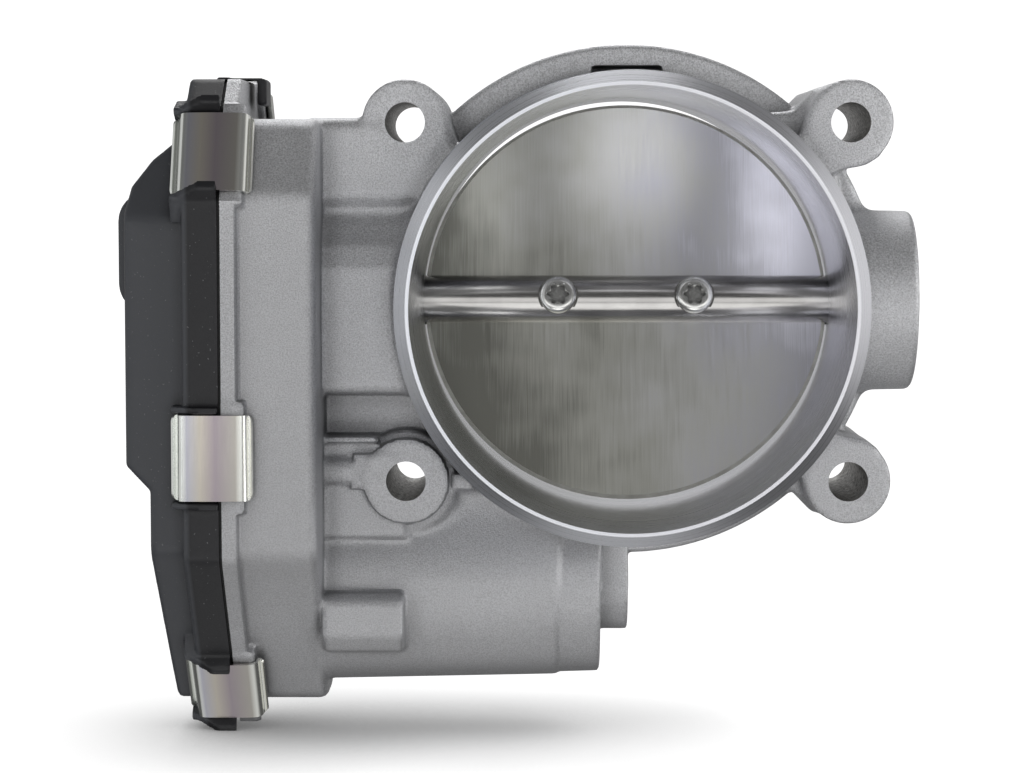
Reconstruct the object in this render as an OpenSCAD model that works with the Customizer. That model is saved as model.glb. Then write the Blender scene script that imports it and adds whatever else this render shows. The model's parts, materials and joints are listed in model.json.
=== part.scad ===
// Electronic throttle body, 82 mm throttle plate.
// Origin: centre of the bore on the rear mounting face. X runs along the throttle shaft,
// Y along the bore (the intake side is -Y), Z is up. Everything is drawn at the rest opening.

/* [Bore and throttle plate] */
// Diameter of the throttle plate
plate_d = 82; // [76:0.5:84]
// Gap all round between plate and bore
bore_gap = 0.25; // [0.15:0.05:0.4]
// Thickness of the throttle plate
plate_t = 2; // [1.6:0.1:2.4]
// Tilt of the plate, from square to the bore, when it is shut
closed_tilt = 5; // [4:0.5:7]
// Tilt of the plate at rest, held a little open
rest_tilt = 14; // [10:0.5:18]
// Distance of the shaft axis in front of the mounting face
shaft_from_face = 30.8; // [30:0.1:32]
// Diameter of the throttle shaft
shaft_d = 10; // [9:0.5:10]
// Distance between the two plate screws
screw_spacing = 27.7; // [24:0.1:32]

/* [Body] */
// Length of the body from mounting face to intake lip
body_length = 77.5; // [74:0.5:82]
// Outside diameter of the machined intake spigot
spigot_d = 90.8; // [90:0.1:92]
// Length of the machined intake spigot
spigot_length = 24; // [20:1:26]
// Diameter of the mounting flange
flange_d = 104; // [102:0.5:105]
// Thickness of the mounting flange
flange_t = 32.6; // [30:0.1:34]
// Sideways spacing of the mounting bolts
bolt_x = 89.2; // [88:0.1:90]
// Upright spacing of the mounting bolts
bolt_z = 72; // [71:0.5:74]
// Diameter of the mounting bolt holes
bolt_hole_d = 8; // [6.6:0.1:8.4]
// Outside diameter of the bolt bosses
bolt_boss_d = 17.2; // [16:0.1:18]
// Length of the bolt bosses
bolt_boss_length = 44.2; // [40:0.1:45]
// Diameter of the two shaft bosses
shaft_boss_d = 37; // [35:0.5:37.5]
// X of the far end of the shaft boss away from the gears
far_boss_end = 58; // [57:0.5:60]

/* [Gear case] */
// X of the case wall that faces the bore
case_wall_x = -61.2; // [-61.5:0.1:-61]
// X of the joint between casting and cover
joint_x = -79.7; // [-80:0.1:-79.5]
// Y of the front edge of the case rim
rim_front = -62; // [-62.5:0.1:-61.8]
// Y of the rear edge of the case rim
rim_rear = -1.4; // [-1.5:0.05:-1.3]
// Z of the top of the case rim
rim_top = 44.6; // [44:0.1:46]
// Z of the bottom of the case rim
rim_bottom = -86.2; // [-87:0.1:-86]
// Height of the cover dome over the joint, on the throttle shaft side
dome_high = 19.2; // [18.5:0.1:20]
// Height of the cover dome over the joint, on the motor side
dome_low = 14.5; // [14:0.1:15]

/* [Gears] */
// Teeth that the throttle sector would have as a full wheel
sector_teeth = 40; // [40:1:40]
// Module of the sector and the small intermediate gear
sector_module = 1.2; // [1.2:0.1:1.2]
// Teeth of the small intermediate gear
small_teeth = 12; // [12:1:12]
// Teeth of the large intermediate gear
large_teeth = 60; // [60:1:60]
// Teeth of the motor pinion
pinion_teeth = 12; // [12:1:12]
// Module of the pinion and the large intermediate gear
pinion_module = 0.8; // [0.8:0.1:0.8]

/* [Motor] */
// Y of the motor axis
motor_y = -25; // [-25.1:0.1:-24.9]
// Z of the motor axis
motor_z = -59.4; // [-59.4:0.1:-59.4]
// Outside diameter of the motor can
motor_d = 31.4; // [30:0.1:31.6]
// Length of the motor can
motor_length = 50; // [46:0.5:51]

/* [Hidden] */

$fn = 96;
eps = 0.01;
run_gap = 0.05;
fit_gap = 0.02;

plate_r = plate_d / 2;
bore_r = plate_r + bore_gap;
shaft_y = -shaft_from_face;
shaft_r = shaft_d / 2;
lip_y = -body_length;
spigot_r = spigot_d / 2;
flange_r = flange_d / 2;
boss_r = shaft_boss_d / 2;
lip_chamfer = 3.1;
lip_flare = 6;
spigot_end = lip_y + lip_chamfer + spigot_length;
cast_body_r = spigot_r + 0.8;

// Shaft line, from the cover end to the plugged end.
shaft_gear_end = -78;
shaft_far_end = 53.5;
needle_x = [-60, -49];
needle_r = 7;
seal_t = 3.5;
seal_r = 7.6;
gear_seal_x = -47.6;
far_seal_x = 42.6;
race_x = [47.2, 53.2];
race_r = 11;
race_inner_r = 6.4;
race_outer_in_r = 9.2;
ball_r = 1.6;
ball_count = 9;
plug_r = 12;
plug_t = 2;

// Gear case outline in the YZ plane, counter-clockwise from the top of the front edge.
rim_outline = [[rim_front, 20.5], [rim_front, -50], [-31.2, rim_bottom], [-17, rim_bottom], [rim_rear, -65.5],
    [rim_rear, 30], [-16, rim_top], [rim_front + 17, rim_top], [rim_front + 9, 39]];
rim_proud = 2;
body_top = 36.6;
wall_t = 1.8;
floor_t = 2.8;
rim_t = 4.4;
case_floor_x = case_wall_x - floor_t;
body_outline = [[rim_front + rim_proud, 21.6], [rim_front + rim_proud, -49.3], [-30.4, -82.9], [-17.6, -82.9],
    [rim_rear - rim_proud, -64.5], [rim_rear - rim_proud, 28], [-12, body_top], [rim_front + 10, body_top]];
corner_r = 6;

// Cover.
gasket_t = 0.6;
cover_flange_t = 7;
cover_wall = 2.2;
cover_joint_x = joint_x - gasket_t;
cover_flange_x = cover_joint_x - cover_flange_t;
dome_inset = 3.4;
dome_high_x = cover_joint_x - dome_high + gasket_t;
dome_low_x = cover_joint_x - dome_low + gasket_t;
dome_step_z = [-31.7, -37];
dome_top_z = 35;

// Connector, pointing backwards from the rear half of the cover.
conn_x = -94;
conn_z = 9.5;
conn_half = [11, 12.5];
conn_y = [-24, -0.8];
conn_wall = 1.6;
conn_web_y = -14.5;
pin_pitch = 4.6;

// Spring clips: edge of the rim outline and how far along it the middle of each one sits.
clip_length = 16.8;
clip_sheet = 0.5;
rib_height = 2.6;
rear_rib_height = 1.2;
rib_t = 1.3;
clip_places = [on_edge(0, 0.711), on_edge(8, 0.5), on_edge(1, 0.812), on_edge(5, 0.5), on_edge(4, 0.54),
    on_edge(3, 0.5)];

// Gear train.
sector_r = sector_teeth * sector_module / 2;
small_r = small_teeth * sector_module / 2;
large_r = large_teeth * pinion_module / 2;
pinion_r = pinion_teeth * pinion_module / 2;
motor_at = [motor_y, motor_z];
shaft_at = [shaft_y, 0];
shaft_to_idler = sector_r + small_r;
idler_to_motor = large_r + pinion_r;
shaft_to_motor = norm(motor_at - shaft_at);
toward_motor = (motor_at - shaft_at) / shaft_to_motor;
along = (pow(shaft_to_idler, 2) - pow(idler_to_motor, 2) + pow(shaft_to_motor, 2)) / (2 * shaft_to_motor);
aside = sqrt(pow(shaft_to_idler, 2) - pow(along, 2));
idler_at = shaft_at + along * toward_motor + aside * [toward_motor[1], -toward_motor[0]];
to_idler = direction(shaft_at, idler_at);
idler_to_motor_dir = direction(idler_at, motor_at);
sector_tooth_angle = to_idler + 4.5;
small_tooth_angle = mate_angle(sector_tooth_angle, to_idler, sector_teeth, small_teeth);
large_tooth_angle = small_tooth_angle;
pinion_tooth_angle = mate_angle(large_tooth_angle, idler_to_motor_dir, large_teeth, pinion_teeth);
backlash = 0.12;
shut_travel = rest_tilt - closed_tilt;
stop_lug_angle = 60;
stop_lug_r = 19.5;
stop_screw_r = 2;
stop_angle = stop_lug_angle + shut_travel + 16.5;
stop_at = shaft_at + 17.6 * [cos(stop_angle), sin(stop_angle)];
sector_x = [-73.6, -67.6];
small_x = [-74.6, -66.8];
large_x = [-80, -75.4];
pinion_x = [-81.5, -74];
idler_hub_r = 4;
idler_pin_r = 2;
idler_pin_x = [-90, -62.4];

// Motor.
motor_r = motor_d / 2;
motor_front_x = -65.6;
can_t = 1.4;
magnet_t = 3.2;
armature_r = motor_r - can_t - magnet_t - 0.5;
motor_shaft_r = 1.6;
pocket_r = motor_r + 0.5;
motor_end_x = motor_front_x + motor_length;
motor_nose_r = 6.5;
motor_wall_r = 19.6;
motor_wall_end_r = 18.2;
motor_step_x = -14;
motor_wall_end_x = -5;
motor_screw_at = [[motor_y + 14.3, motor_z + 12.8], [motor_y - 18.1, motor_z - 2.2]];
motor_screw_r = 1.25;
motor_screw_head_r = 2.2;
motor_ear_r = 2.5;

function unit(v) = v / norm(v);

// Point at fraction t of edge i of the rim outline, and the angle the edge faces, measured from +Y.
function on_edge(i, t) = let(a = rim_outline[i], b = rim_outline[(i + 1) % len(rim_outline)], d = b - a)
    [a[0] + d[0] * t, a[1] + d[1] * t, atan2(-d[0], d[1])];
function direction(a, b) = atan2(b[1] - a[1], b[0] - a[0]);

// Tooth angle of a wheel that meshes with another, whose tooth stands at angle a.
// The line of centres runs from the first wheel at angle line, and z1 and z2 are the tooth counts.
function mate_angle(a, line, z1, z2) = line + 180 - (a - line) * z1 / z2 + 180 / z2;

// A polygon moved in (d < 0) or out (d > 0); its points run counter-clockwise.
function shift_corner(a, b, c, d) =
    let(u = unit(b - a), v = unit(c - b), n = [u[1], -u[0]], m = [v[1], -v[0]])
    b + d * (n + m) / (1 + n * m);
function grown(p, d) = [for (i = [0 : len(p) - 1])
    shift_corner(p[(i + len(p) - 1) % len(p)], p[i], p[(i + 1) % len(p)], d)];

// A polygon whose corners are arcs of radius r.
function arc_corner(a, b, c, r, n) =
    let(u = unit(a - b), v = unit(c - b), h = acos(u * v) / 2, t = r / tan(h),
        m = b + unit(u + v) * r / sin(h), s = b + u * t - m, e = b + v * t - m,
        a0 = atan2(s[1], s[0]), turn = atan2(e[1], e[0]) - a0,
        sweep = turn > 180 ? turn - 360 : turn < -180 ? turn + 360 : turn)
    [for (i = [0 : n]) m + r * [cos(a0 + sweep * i / n), sin(a0 + sweep * i / n)]];
function rounded(p, r, n = 5) = [for (i = [0 : len(p) - 1])
    each arc_corner(p[(i + len(p) - 1) % len(p)], p[i], p[(i + 1) % len(p)], r, n)];

// Involute gear outline with z teeth, module m, a tooth centred on angle 0.
function involute_angle(r, base) = r <= base ? 0 : tan(acos(base / r)) * 180 / PI - acos(base / r);
function flank(z, m, k) =
    let(pitch = z * m / 2, base = pitch * cos(20), tip = pitch + m, root = pitch - 1.25 * m,
        low = max(base, root + 0.05), r = low + (tip - low) * k,
        half = 90 / z - backlash / 4 / pitch * 180 / PI + involute_angle(pitch, base))
    [r, half - involute_angle(r, base)];
function gear_tooth(z, m, steps) = concat(
    [[z * m / 2 - 1.25 * m, -flank(z, m, 0)[1]]],
    [for (i = [0 : steps]) let(f = flank(z, m, i / steps)) [f[0], -f[1]]],
    [for (i = [steps : -1 : 0]) flank(z, m, i / steps)],
    [[z * m / 2 - 1.25 * m, flank(z, m, 0)[1]]]);
function gear_points(z, m, first, last, phase, steps = 4) = [for (t = [first : last]) each
    [for (p = gear_tooth(z, m, steps)) let(a = phase + p[1] + t * 360 / z) p[0] * [cos(a), sin(a)]]];

module along_x(x0, x1, r, at = [0, 0]) {
    translate([x0, at[0], at[1]])
        rotate([0, 90, 0]) cylinder(h = x1 - x0, r = r);
}

module taper_x(x0, x1, r0, r1, at) {
    translate([x0, at[0], at[1]])
        rotate([0, 90, 0]) cylinder(h = x1 - x0, r1 = r0, r2 = r1);
}

module ring_x(x0, x1, outer, inner, at) {
    difference() {
        along_x(x0, x1, outer, at);
        along_x(x0 - 1, x1 + 1, inner, at);
    }
}

module along_y(y0, y1, r, at = [0, 0]) {
    translate([at[0], y0, at[1]])
        rotate([-90, 0, 0]) cylinder(h = y1 - y0, r = r);
}

// A profile in Y and Z, drawn out along X.
module profile_x(x0, x1) {
    translate([x0, 0, 0])
        rotate([90, 0, 90]) linear_extrude(x1 - x0) children();
}

// A profile in X and Z, drawn out along Y.
module profile_y(y0, y1) {
    translate([0, y1, 0])
        rotate([90, 0, 0]) linear_extrude(y1 - y0) children();
}

// A profile in radius and Y, turned about the bore.
module turned_y(points) {
    rotate([-90, 0, 0]) rotate_extrude() polygon(points);
}

module block(low, high) {
    translate(low) cube(high - low);
}

module at_shaft() {
    translate([0, shaft_y, 0]) children();
}

// Moves what is drawn for an upright shaft to the rest opening: the lower half of the plate leans to -Y.
module at_rest_tilt() {
    at_shaft() rotate([-rest_tilt, 0, 0]) children();
}

module bolt_places() {
    for (x = [-1, 1], z = [-1, 1])
        translate([x * bolt_x / 2, 0, z * bolt_z / 2]) children();
}

// ---- Casting ----

module bore_tube() {
    turned_y([[0, lip_y], [spigot_r - 2.15, lip_y], [spigot_r, lip_y + lip_chamfer], [spigot_r, spigot_end],
        [cast_body_r, spigot_end + 1], [cast_body_r, -flange_t - 3], [cast_body_r + 3, -flange_t],
        [flange_r - 1.5, -flange_t], [flange_r, -flange_t + 1.5], [flange_r, 0], [0, 0]]);
}

module bolt_bosses() {
    bolt_places() along_y(-bolt_boss_length, 0, bolt_boss_d / 2);
    // webs from the two far bosses back to the flange, in two steps
    for (z = [-1, 1], low = [0, 1])
        profile_y(-flange_t - 7 + low * 8, 0)
            polygon([[30 - low * 4, z * 30], [32 - low * 6, z * 39.5], [40.3, z * 43.3], [52, z * 32.2],
                [48.6 - low, z * (21 - low * 5)], [36, z * 16]]);
}

module upper_web() {
    profile_y(-bolt_boss_length, -3)
        polygon([[case_wall_x - 1, 33], [-40, 33], [-bolt_x / 2 - 6, bolt_z / 2 + 5.4],
            [-bolt_x / 2 - 10, body_top], [case_wall_x - 1, body_top]]);
    profile_y(-bolt_boss_length, -flange_t + 4)
        polygon([[case_wall_x - 1, 20.5], [-42, 20.5], [-36, 26], [-36, bolt_z / 2],
            [case_wall_x - 1, bolt_z / 2]]);
    // back of the recess between the web and the shaft boss
    block([case_wall_x - 1, -36.5, 6], [-40, -3, 34]);
}

module gear_side_boss() {
    along_x(case_wall_x - 1, -38, boss_r, shaft_at);
    block([case_wall_x - 1, shaft_y - 17.6, -17], [-38, shaft_y + 14, 8]);
    block([case_wall_x - 1, shaft_y, -19], [-38, shaft_y + 15, boss_r - 0.5]);
}

module lower_web() {
    block([case_wall_x - 1, -42.5, -56], [-45.5, -3, -29]);
    block([case_wall_x - 1, -38, -32], [-40, -3, -15]);
    profile_y(-30, -3) polygon([[-46, -50], [-18, -50], [-20, -38], [-40, -19], [-46, -19]]);
    // arm, ledges and block beside the lower bolt boss
    block([case_wall_x + 5.5, -bolt_boss_length, -38.6], [-bolt_x / 2, -34, -31]);
    block([case_wall_x - 1, -bolt_boss_length + 1.2, -38.6], [case_wall_x + 6, -34, -30.4]);
    block([case_wall_x - 1, -bolt_boss_length, -28.5], [-50.4, -34, -27]);
    block([-51, -40.5, -27.4], [-40, -34, -26]);
    block([-37, -bolt_boss_length + 3, -38], [-31, -30, -34]);
}

module motor_housing() {
    taper_x(case_wall_x - 1, motor_step_x, motor_wall_r, motor_wall_end_r + 0.2, motor_at);
    taper_x(motor_step_x - eps, motor_wall_end_x, motor_wall_end_r - 0.3, motor_wall_end_r - 0.6, motor_at);
    along_x(motor_wall_end_x - 1, 1, 9.4, motor_at);
    block([motor_wall_end_x - 1, motor_y - 9.2, motor_z], [1, motor_y + 9.2, -42]);
    // bosses for the motor screws
    along_x(case_wall_x - 1, -44.6, 6.6, [-40.4, -64.1]);
    along_x(case_wall_x - 1, -52, 4.4, motor_screw_at[0]);
}

module case_body() {
    profile_x(joint_x, case_wall_x) polygon(rounded(body_outline, corner_r));
    profile_x(joint_x, joint_x + rim_t - 1.2) polygon(rounded(rim_outline, 3));
    clip_pads(joint_x, joint_x + rim_t, 0.35);
}

// Raised pads on the rim under the spring clips, from x0 to x1, proud by rise.
module clip_pads(x0, x1, rise) {
    for (c = clip_places)
        translate([0, c[0], c[1]]) rotate([c[2], 0, 0])
            block([x0, -3, -clip_length / 2 - 2.6], [x1, rise, clip_length / 2 + 2.6]);
}

module case_cavity() {
    profile_x(joint_x - 1, case_floor_x)
        polygon(rounded(grown(body_outline, -wall_t), corner_r - wall_t + 1));
}

module housing() {
    color("#A7A9AD") difference() {
        union() {
            bore_tube();
            bolt_bosses();
            upper_web();
            gear_side_boss();
            along_x(38, far_boss_end - 1, boss_r, shaft_at);
            taper_x(far_boss_end - 1 - eps, far_boss_end, boss_r, boss_r - 1, shaft_at);
            lower_web();
            motor_housing();
            case_body();
        }
        // bore, flared a little at the lip
        turned_y([[0, lip_y - 1], [bore_r + 1.05, lip_y - 1], [bore_r + 1.05, lip_y],
            [bore_r, lip_y + lip_flare], [bore_r, 1], [0, 1]]);
        // duct locating notch at the top of the flange
        block([-7, -flange_t - 1, 44.6], [7, -flange_t + 5, 48.3]);
        case_cavity();
        bolt_places() along_y(-bolt_boss_length - 1, 1, bolt_hole_d / 2);
        // shaft line
        along_x(case_floor_x - 1, 60, shaft_r + run_gap, shaft_at);
        ring_x(case_floor_x - 1, -50.5, 14.6, 8.6, shaft_at);
        along_x(case_floor_x - 1, needle_x[1], needle_r + fit_gap, shaft_at);
        along_x(gear_seal_x - eps, gear_seal_x + seal_t, seal_r + fit_gap, shaft_at);
        along_x(needle_x[1], gear_seal_x, shaft_r + 0.8, shaft_at);
        along_x(far_seal_x, far_seal_x + seal_t, seal_r + fit_gap, shaft_at);
        along_x(far_seal_x + seal_t - eps, race_x[0], race_inner_r + 0.6, shaft_at);
        along_x(race_x[0], far_boss_end + 1, race_r + fit_gap, shaft_at);
        along_x(race_x[1] + 1, far_boss_end + 1, plug_r + fit_gap, shaft_at);
        // motor pocket with the nose of the motor at its end
        along_x(case_floor_x - 1, motor_end_x + 1.4, pocket_r, motor_at);
        along_x(motor_end_x + 1, motor_end_x + 6, motor_nose_r + 0.4, motor_at);
        for (s = motor_screw_at)
            along_x(case_floor_x - 1, case_wall_x + 6, motor_screw_r + fit_gap, s);
        // seats of the intermediate pin and the stop screw
        along_x(case_floor_x - 1, idler_pin_x[1], idler_pin_r + fit_gap, idler_at);
        along_x(case_floor_x - 1, case_wall_x + 2, 1.6 + fit_gap, stop_at);
    }
}

// ---- Throttle plate and shaft ----

module throttle_plate() {
    color("#8E8F90") at_shaft() rotate([closed_tilt - rest_tilt, 0, 0]) difference() {
        intersection() {
            rotate([-closed_tilt, 0, 0])
                translate([-plate_r - 1, -plate_t / 2, -plate_r - 2])
                    cube([plate_d + 2, plate_t, plate_d + 4]);
            along_y(-12, 12, plate_r);
        }
        rotate([-closed_tilt, 0, 0])
            for (x = [-1, 1])
                translate([x * screw_spacing / 2, 0, 0]) along_y(-3, 3, 2.1);
    }
}

screw_head_r = 3.75;
screw_head_t = 2.2;
screw_seat = 4.4;

module throttle_shaft() {
    color("#C9CACC") at_rest_tilt() difference() {
        union() {
            along_x(shaft_gear_end, shaft_far_end, shaft_r);
            along_x(shaft_gear_end - 1, shaft_gear_end + eps, shaft_r - 1);
        }
        translate([-plate_r - 0.4, -plate_t / 2 - 0.02, -shaft_r - 1])
            cube([plate_d + 0.8, plate_t + 0.04, shaft_d + 2]);
        for (x = [-1, 1]) translate([x * screw_spacing / 2, 0, 0]) {
            along_y(-shaft_r - 1, shaft_r + 1, 2.1);
            along_y(-shaft_r - 1, -screw_seat, screw_head_r + 0.35);
        }
        // drive flats for the sector gear
        for (s = [-1, 1])
            block([shaft_gear_end - 2, -6, s > 0 ? 3.9 : -6], [sector_x[1] + 1, 6, s > 0 ? 6 : -3.9]);
    }
}

module plate_screws() {
    color("#D8D8D4") at_rest_tilt()
        for (x = [-1, 1]) translate([x * screw_spacing / 2, 0, 0]) difference() {
            union() {
                along_y(-screw_seat - screw_head_t, -screw_seat, screw_head_r);
                along_y(-screw_seat - eps, shaft_r - 0.2, 2);
            }
            for (a = [0 : 60 : 300])
                rotate([0, a, 0]) along_y(-screw_seat - screw_head_t - 1, -screw_seat - 0.6, 0.62, [1.4, 0]);
            along_y(-screw_seat - screw_head_t - 1, -screw_seat - 0.6, 1.35);
        }
}

// ---- Bearings, seals and plug on the shaft line ----

roller_r = 0.9;
roller_count = 14;

module needle_bearing_cup() {
    color("#B9BBBE") difference() {
        along_x(needle_x[0], needle_x[1], needle_r, shaft_at);
        along_x(needle_x[0] + 0.8, needle_x[1] - 0.8, needle_r - 0.6 - 0.34, shaft_at);
        along_x(needle_x[0] - 1, needle_x[1] + 1, shaft_r + 0.35, shaft_at);
    }
}

module needle_rollers() {
    color("#D6D7D9") at_shaft() for (i = [0 : roller_count - 1]) rotate([i * 360 / roller_count, 0, 0])
        along_x(needle_x[0] + 1.1, needle_x[1] - 1.1, roller_r - 0.42, [shaft_r + 0.54, 0]);
}

module ball_groove(r) {
    at_shaft() translate([(race_x[0] + race_x[1]) / 2, 0, 0]) rotate([0, 90, 0])
        rotate_extrude() translate([(race_inner_r + race_outer_in_r) / 2, 0]) circle(r);
}

module ball_bearing_outer_race() {
    color("#B9BBBE") difference() {
        ring_x(race_x[0], race_x[1], race_r, race_outer_in_r, shaft_at);
        ball_groove(ball_r + 0.32);
    }
}

module ball_bearing_balls() {
    pitch_r = (race_inner_r + race_outer_in_r) / 2;
    color("#DADBDD") at_shaft() for (i = [0 : ball_count - 1]) rotate([i * 360 / ball_count, 0, 0])
        translate([(race_x[0] + race_x[1]) / 2, pitch_r, 0]) sphere(r = ball_r, $fn = 24);
}

module ball_bearing_inner_race() {
    color("#B9BBBE") difference() {
        ring_x(race_x[0], race_x[1], race_inner_r, shaft_r, shaft_at);
        ball_groove(ball_r + 0.32);
    }
}

module shaft_seal(x) {
    color("#26282A") difference() {
        along_x(x, x + seal_t, seal_r, shaft_at);
        along_x(x - 1, x + seal_t + 1, shaft_r + 0.08, shaft_at);
        ring_x(x - 1, x + seal_t - 1, seal_r - 1, shaft_r + 0.9, shaft_at);
    }
}

module gear_side_seal() {
    shaft_seal(gear_seal_x);
}

module far_side_seal() {
    shaft_seal(far_seal_x);
}

module shaft_end_plug() {
    color("#9EA0A3") difference() {
        along_x(race_x[1] + 1.2, race_x[1] + 1.2 + plug_t, plug_r - fit_gap, shaft_at);
        along_x(race_x[1] + 1.2 + 0.9, race_x[1] + 5, plug_r - 2.2, shaft_at);
    }
}

// ---- Gears, spring and stop ----

sector_first = -2;
sector_last = 9;
hub_r = 11;

module sector_gear() {
    step = 360 / sector_teeth;
    start = sector_tooth_angle + sector_first * step - step / 2;
    end = sector_tooth_angle + sector_last * step + step / 2;
    root_r = sector_r - 1.25 * sector_module;
    color("#3A3B33") at_shaft() difference() {
        union() {
            profile_x(sector_x[0], sector_x[1])
                polygon(concat([[0, 0]], [root_r * [cos(start), sin(start)]],
                    gear_points(sector_teeth, sector_module, sector_first, sector_last, sector_tooth_angle),
                    [root_r * [cos(end), sin(end)]]));
            along_x(sector_x[0] - 1, sector_x[1] + 0.8, hub_r);
            along_x(-82, sector_x[0], 5.9);
            // lug that meets the stop screw
            rotate([stop_lug_angle, 0, 0]) block([sector_x[0], 0, -2.5], [sector_x[1] - 1, stop_lug_r, 2.5]);
        }
        intersection() {
            along_x(shaft_gear_end - 1.2, sector_x[1] + 2, shaft_r + fit_gap);
            rotate([-rest_tilt, 0, 0]) block([-90, -6, -3.9 - fit_gap], [-60, 6, 3.9 + fit_gap]);
        }
        along_x(-83, shaft_gear_end - 1, 4.6);
        // weight-saving pocket in the web
        profile_x(sector_x[0] - 2, sector_x[0] + 2) polygon(sector_pocket(start + 10, end - 10));
    }
}

function sector_pocket(a0, a1) = concat(
    [for (i = [0 : 8]) 13 * [cos(a0 + (a1 - a0) * i / 8), sin(a0 + (a1 - a0) * i / 8)]],
    [for (i = [8 : -1 : 0]) 19.5 * [cos(a0 + (a1 - a0) * i / 8), sin(a0 + (a1 - a0) * i / 8)]]);

module sensor_magnet() {
    color("#55585C") difference() {
        ring_x(-84.4, -82.05, 5.6, 2.6, shaft_at);
    }
}

spring_coils = 5;
spring_wire_r = 0.75;
spring_r = 11.5;
spring_x = [-63.6, -53];
spring_steps = 20;
spring_sides = 8;

function spring_point(t) =
    [spring_x[0] + (spring_x[1] - spring_x[0]) * t / spring_coils,
        spring_r * cos(360 * t), spring_r * sin(360 * t)];
function spring_ring(t) = [for (j = [0 : spring_sides - 1]) let(b = 360 * j / spring_sides)
    spring_point(t) + spring_wire_r * [cos(b), sin(b) * cos(360 * t), sin(b) * sin(360 * t)]];

module return_spring() {
    rings = spring_coils * spring_steps;
    points = [for (i = [0 : rings]) each spring_ring(i / spring_steps)];
    last = rings * spring_sides;
    sides = [for (i = [0 : rings - 1], j = [0 : spring_sides - 1]) let(k = (j + 1) % spring_sides)
        [i * spring_sides + j, i * spring_sides + k, (i + 1) * spring_sides + k, (i + 1) * spring_sides + j]];
    color("#8C8F94") at_shaft() polyhedron(points, concat(sides, [[for (j = [spring_sides - 1 : -1 : 0]) j]],
        [[for (j = [0 : spring_sides - 1]) last + j]]), convexity = 6);
}

module throttle_stop_screw() {
    color("#C8C8C2") {
        along_x(case_floor_x - 9, case_floor_x, stop_screw_r, stop_at);
        along_x(case_floor_x - eps, case_wall_x + 1.8, 1.6, stop_at);
    }
}

module spur(z, m, phase) {
    polygon(gear_points(z, m, 0, z - 1, phase));
}

module intermediate_gear() {
    color("#E4DFCF") translate([0, idler_at[0], idler_at[1]]) difference() {
        union() {
            profile_x(small_x[0] - 1, small_x[1]) spur(small_teeth, sector_module, small_tooth_angle);
            profile_x(large_x[0], large_x[1]) spur(large_teeth, pinion_module, large_tooth_angle);
            along_x(large_x[0] - 2, large_x[0] + 1, idler_hub_r + 1.5);
        }
        along_x(large_x[0] - 3, small_x[1] + 1, idler_pin_r + run_gap);
        ring_x(large_x[0] - 1, large_x[0] + 1.6, 20.5, 8.5, [0, 0]);
        ring_x(large_x[1] - 1.6, large_x[1] + 1, 20.5, 9.5, [0, 0]);
    }
}

module intermediate_pin() {
    color("#CFD0D2") along_x(idler_pin_x[0], idler_pin_x[1], idler_pin_r, idler_at);
}

// ---- Motor ----

module motor_can() {
    color("#8D9096") difference() {
        union() {
            along_x(motor_front_x, motor_end_x, motor_r, motor_at);
            along_x(motor_end_x - eps, motor_end_x + 4.4, motor_nose_r, motor_at);
        }
        along_x(motor_front_x - 1, motor_end_x - can_t, motor_r - can_t, motor_at);
        along_x(motor_end_x - can_t - 1, motor_end_x + 3.4, motor_nose_r - 1.2, motor_at);
    }
}

module motor_magnets() {
    color("#3C3E42") difference() {
        ring_x(motor_front_x + 14, motor_end_x - 6, motor_r - can_t - 0.02, motor_r - can_t - magnet_t,
            motor_at);
        for (s = [-1, 1])
            block([motor_front_x, motor_y + s * 11 - 5, motor_z - 4],
                [motor_end_x, motor_y + s * 11 + 5, motor_z + 4]);
    }
}

module motor_end_plate() {
    color("#2B2D30") difference() {
        union() {
            along_x(motor_front_x - 0.01, motor_front_x + 5, motor_r - can_t - 0.02, motor_at);
            along_x(motor_front_x - 1.4, motor_front_x - 0.01, motor_r + 0.3, motor_at);
            for (s = motor_screw_at)
                along_x(motor_front_x - 1.4, case_floor_x - 0.1, motor_ear_r, s);
            profile_x(motor_front_x - 1.4, motor_front_x - 0.01) polygon(ear_strip());
        }
        along_x(motor_front_x - 3, motor_front_x + 6, 4.6, motor_at);
        for (s = motor_screw_at)
            along_x(motor_front_x - 3, case_floor_x + 1, motor_screw_r + 0.1, s);
        for (s = [-1, 1])
            block([motor_front_x - 2, motor_y + s * 9 - 3.3, motor_z - 2],
                [motor_front_x + 6, motor_y + s * 9 + 3.3, motor_z + 2]);
    }
}

// Strip that joins the two screw ears of the end plate across the motor.
function ear_strip() =
    let(d = unit(motor_screw_at[1] - motor_screw_at[0]), n = motor_ear_r * [-d[1], d[0]])
    [motor_screw_at[0] + n, motor_screw_at[1] + n, motor_screw_at[1] - n, motor_screw_at[0] - n];

module motor_brushes() {
    color("#4A4442") for (s = [-1, 1])
        block([motor_front_x + 5.6, motor_y + s * 8 - 3.6, motor_z - 1.8],
            [motor_front_x + 9.6, motor_y + s * 8 + 3.6, motor_z + 1.8]);
}

module motor_bushes() {
    color("#B08D57") {
        ring_x(motor_front_x - 1.2, motor_front_x + 3.4, 4.58, motor_shaft_r + run_gap, motor_at);
        ring_x(motor_end_x - 0.6, motor_end_x + 3.38, motor_nose_r - 1.22, motor_shaft_r + run_gap, motor_at);
    }
}

slot_count = 5;

module motor_armature() {
    color("#7D8085") difference() {
        along_x(motor_front_x + 17, motor_end_x - 9, armature_r, motor_at);
        along_x(motor_front_x + 16, motor_end_x - 8, motor_shaft_r, motor_at);
        for (i = [0 : slot_count - 1])
            translate([0, motor_y, motor_z]) rotate([i * 360 / slot_count, 0, 0])
                block([motor_front_x + 16, armature_r - 4.6, -1.1], [motor_end_x - 8, armature_r + 1, 1.1]);
    }
}

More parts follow.
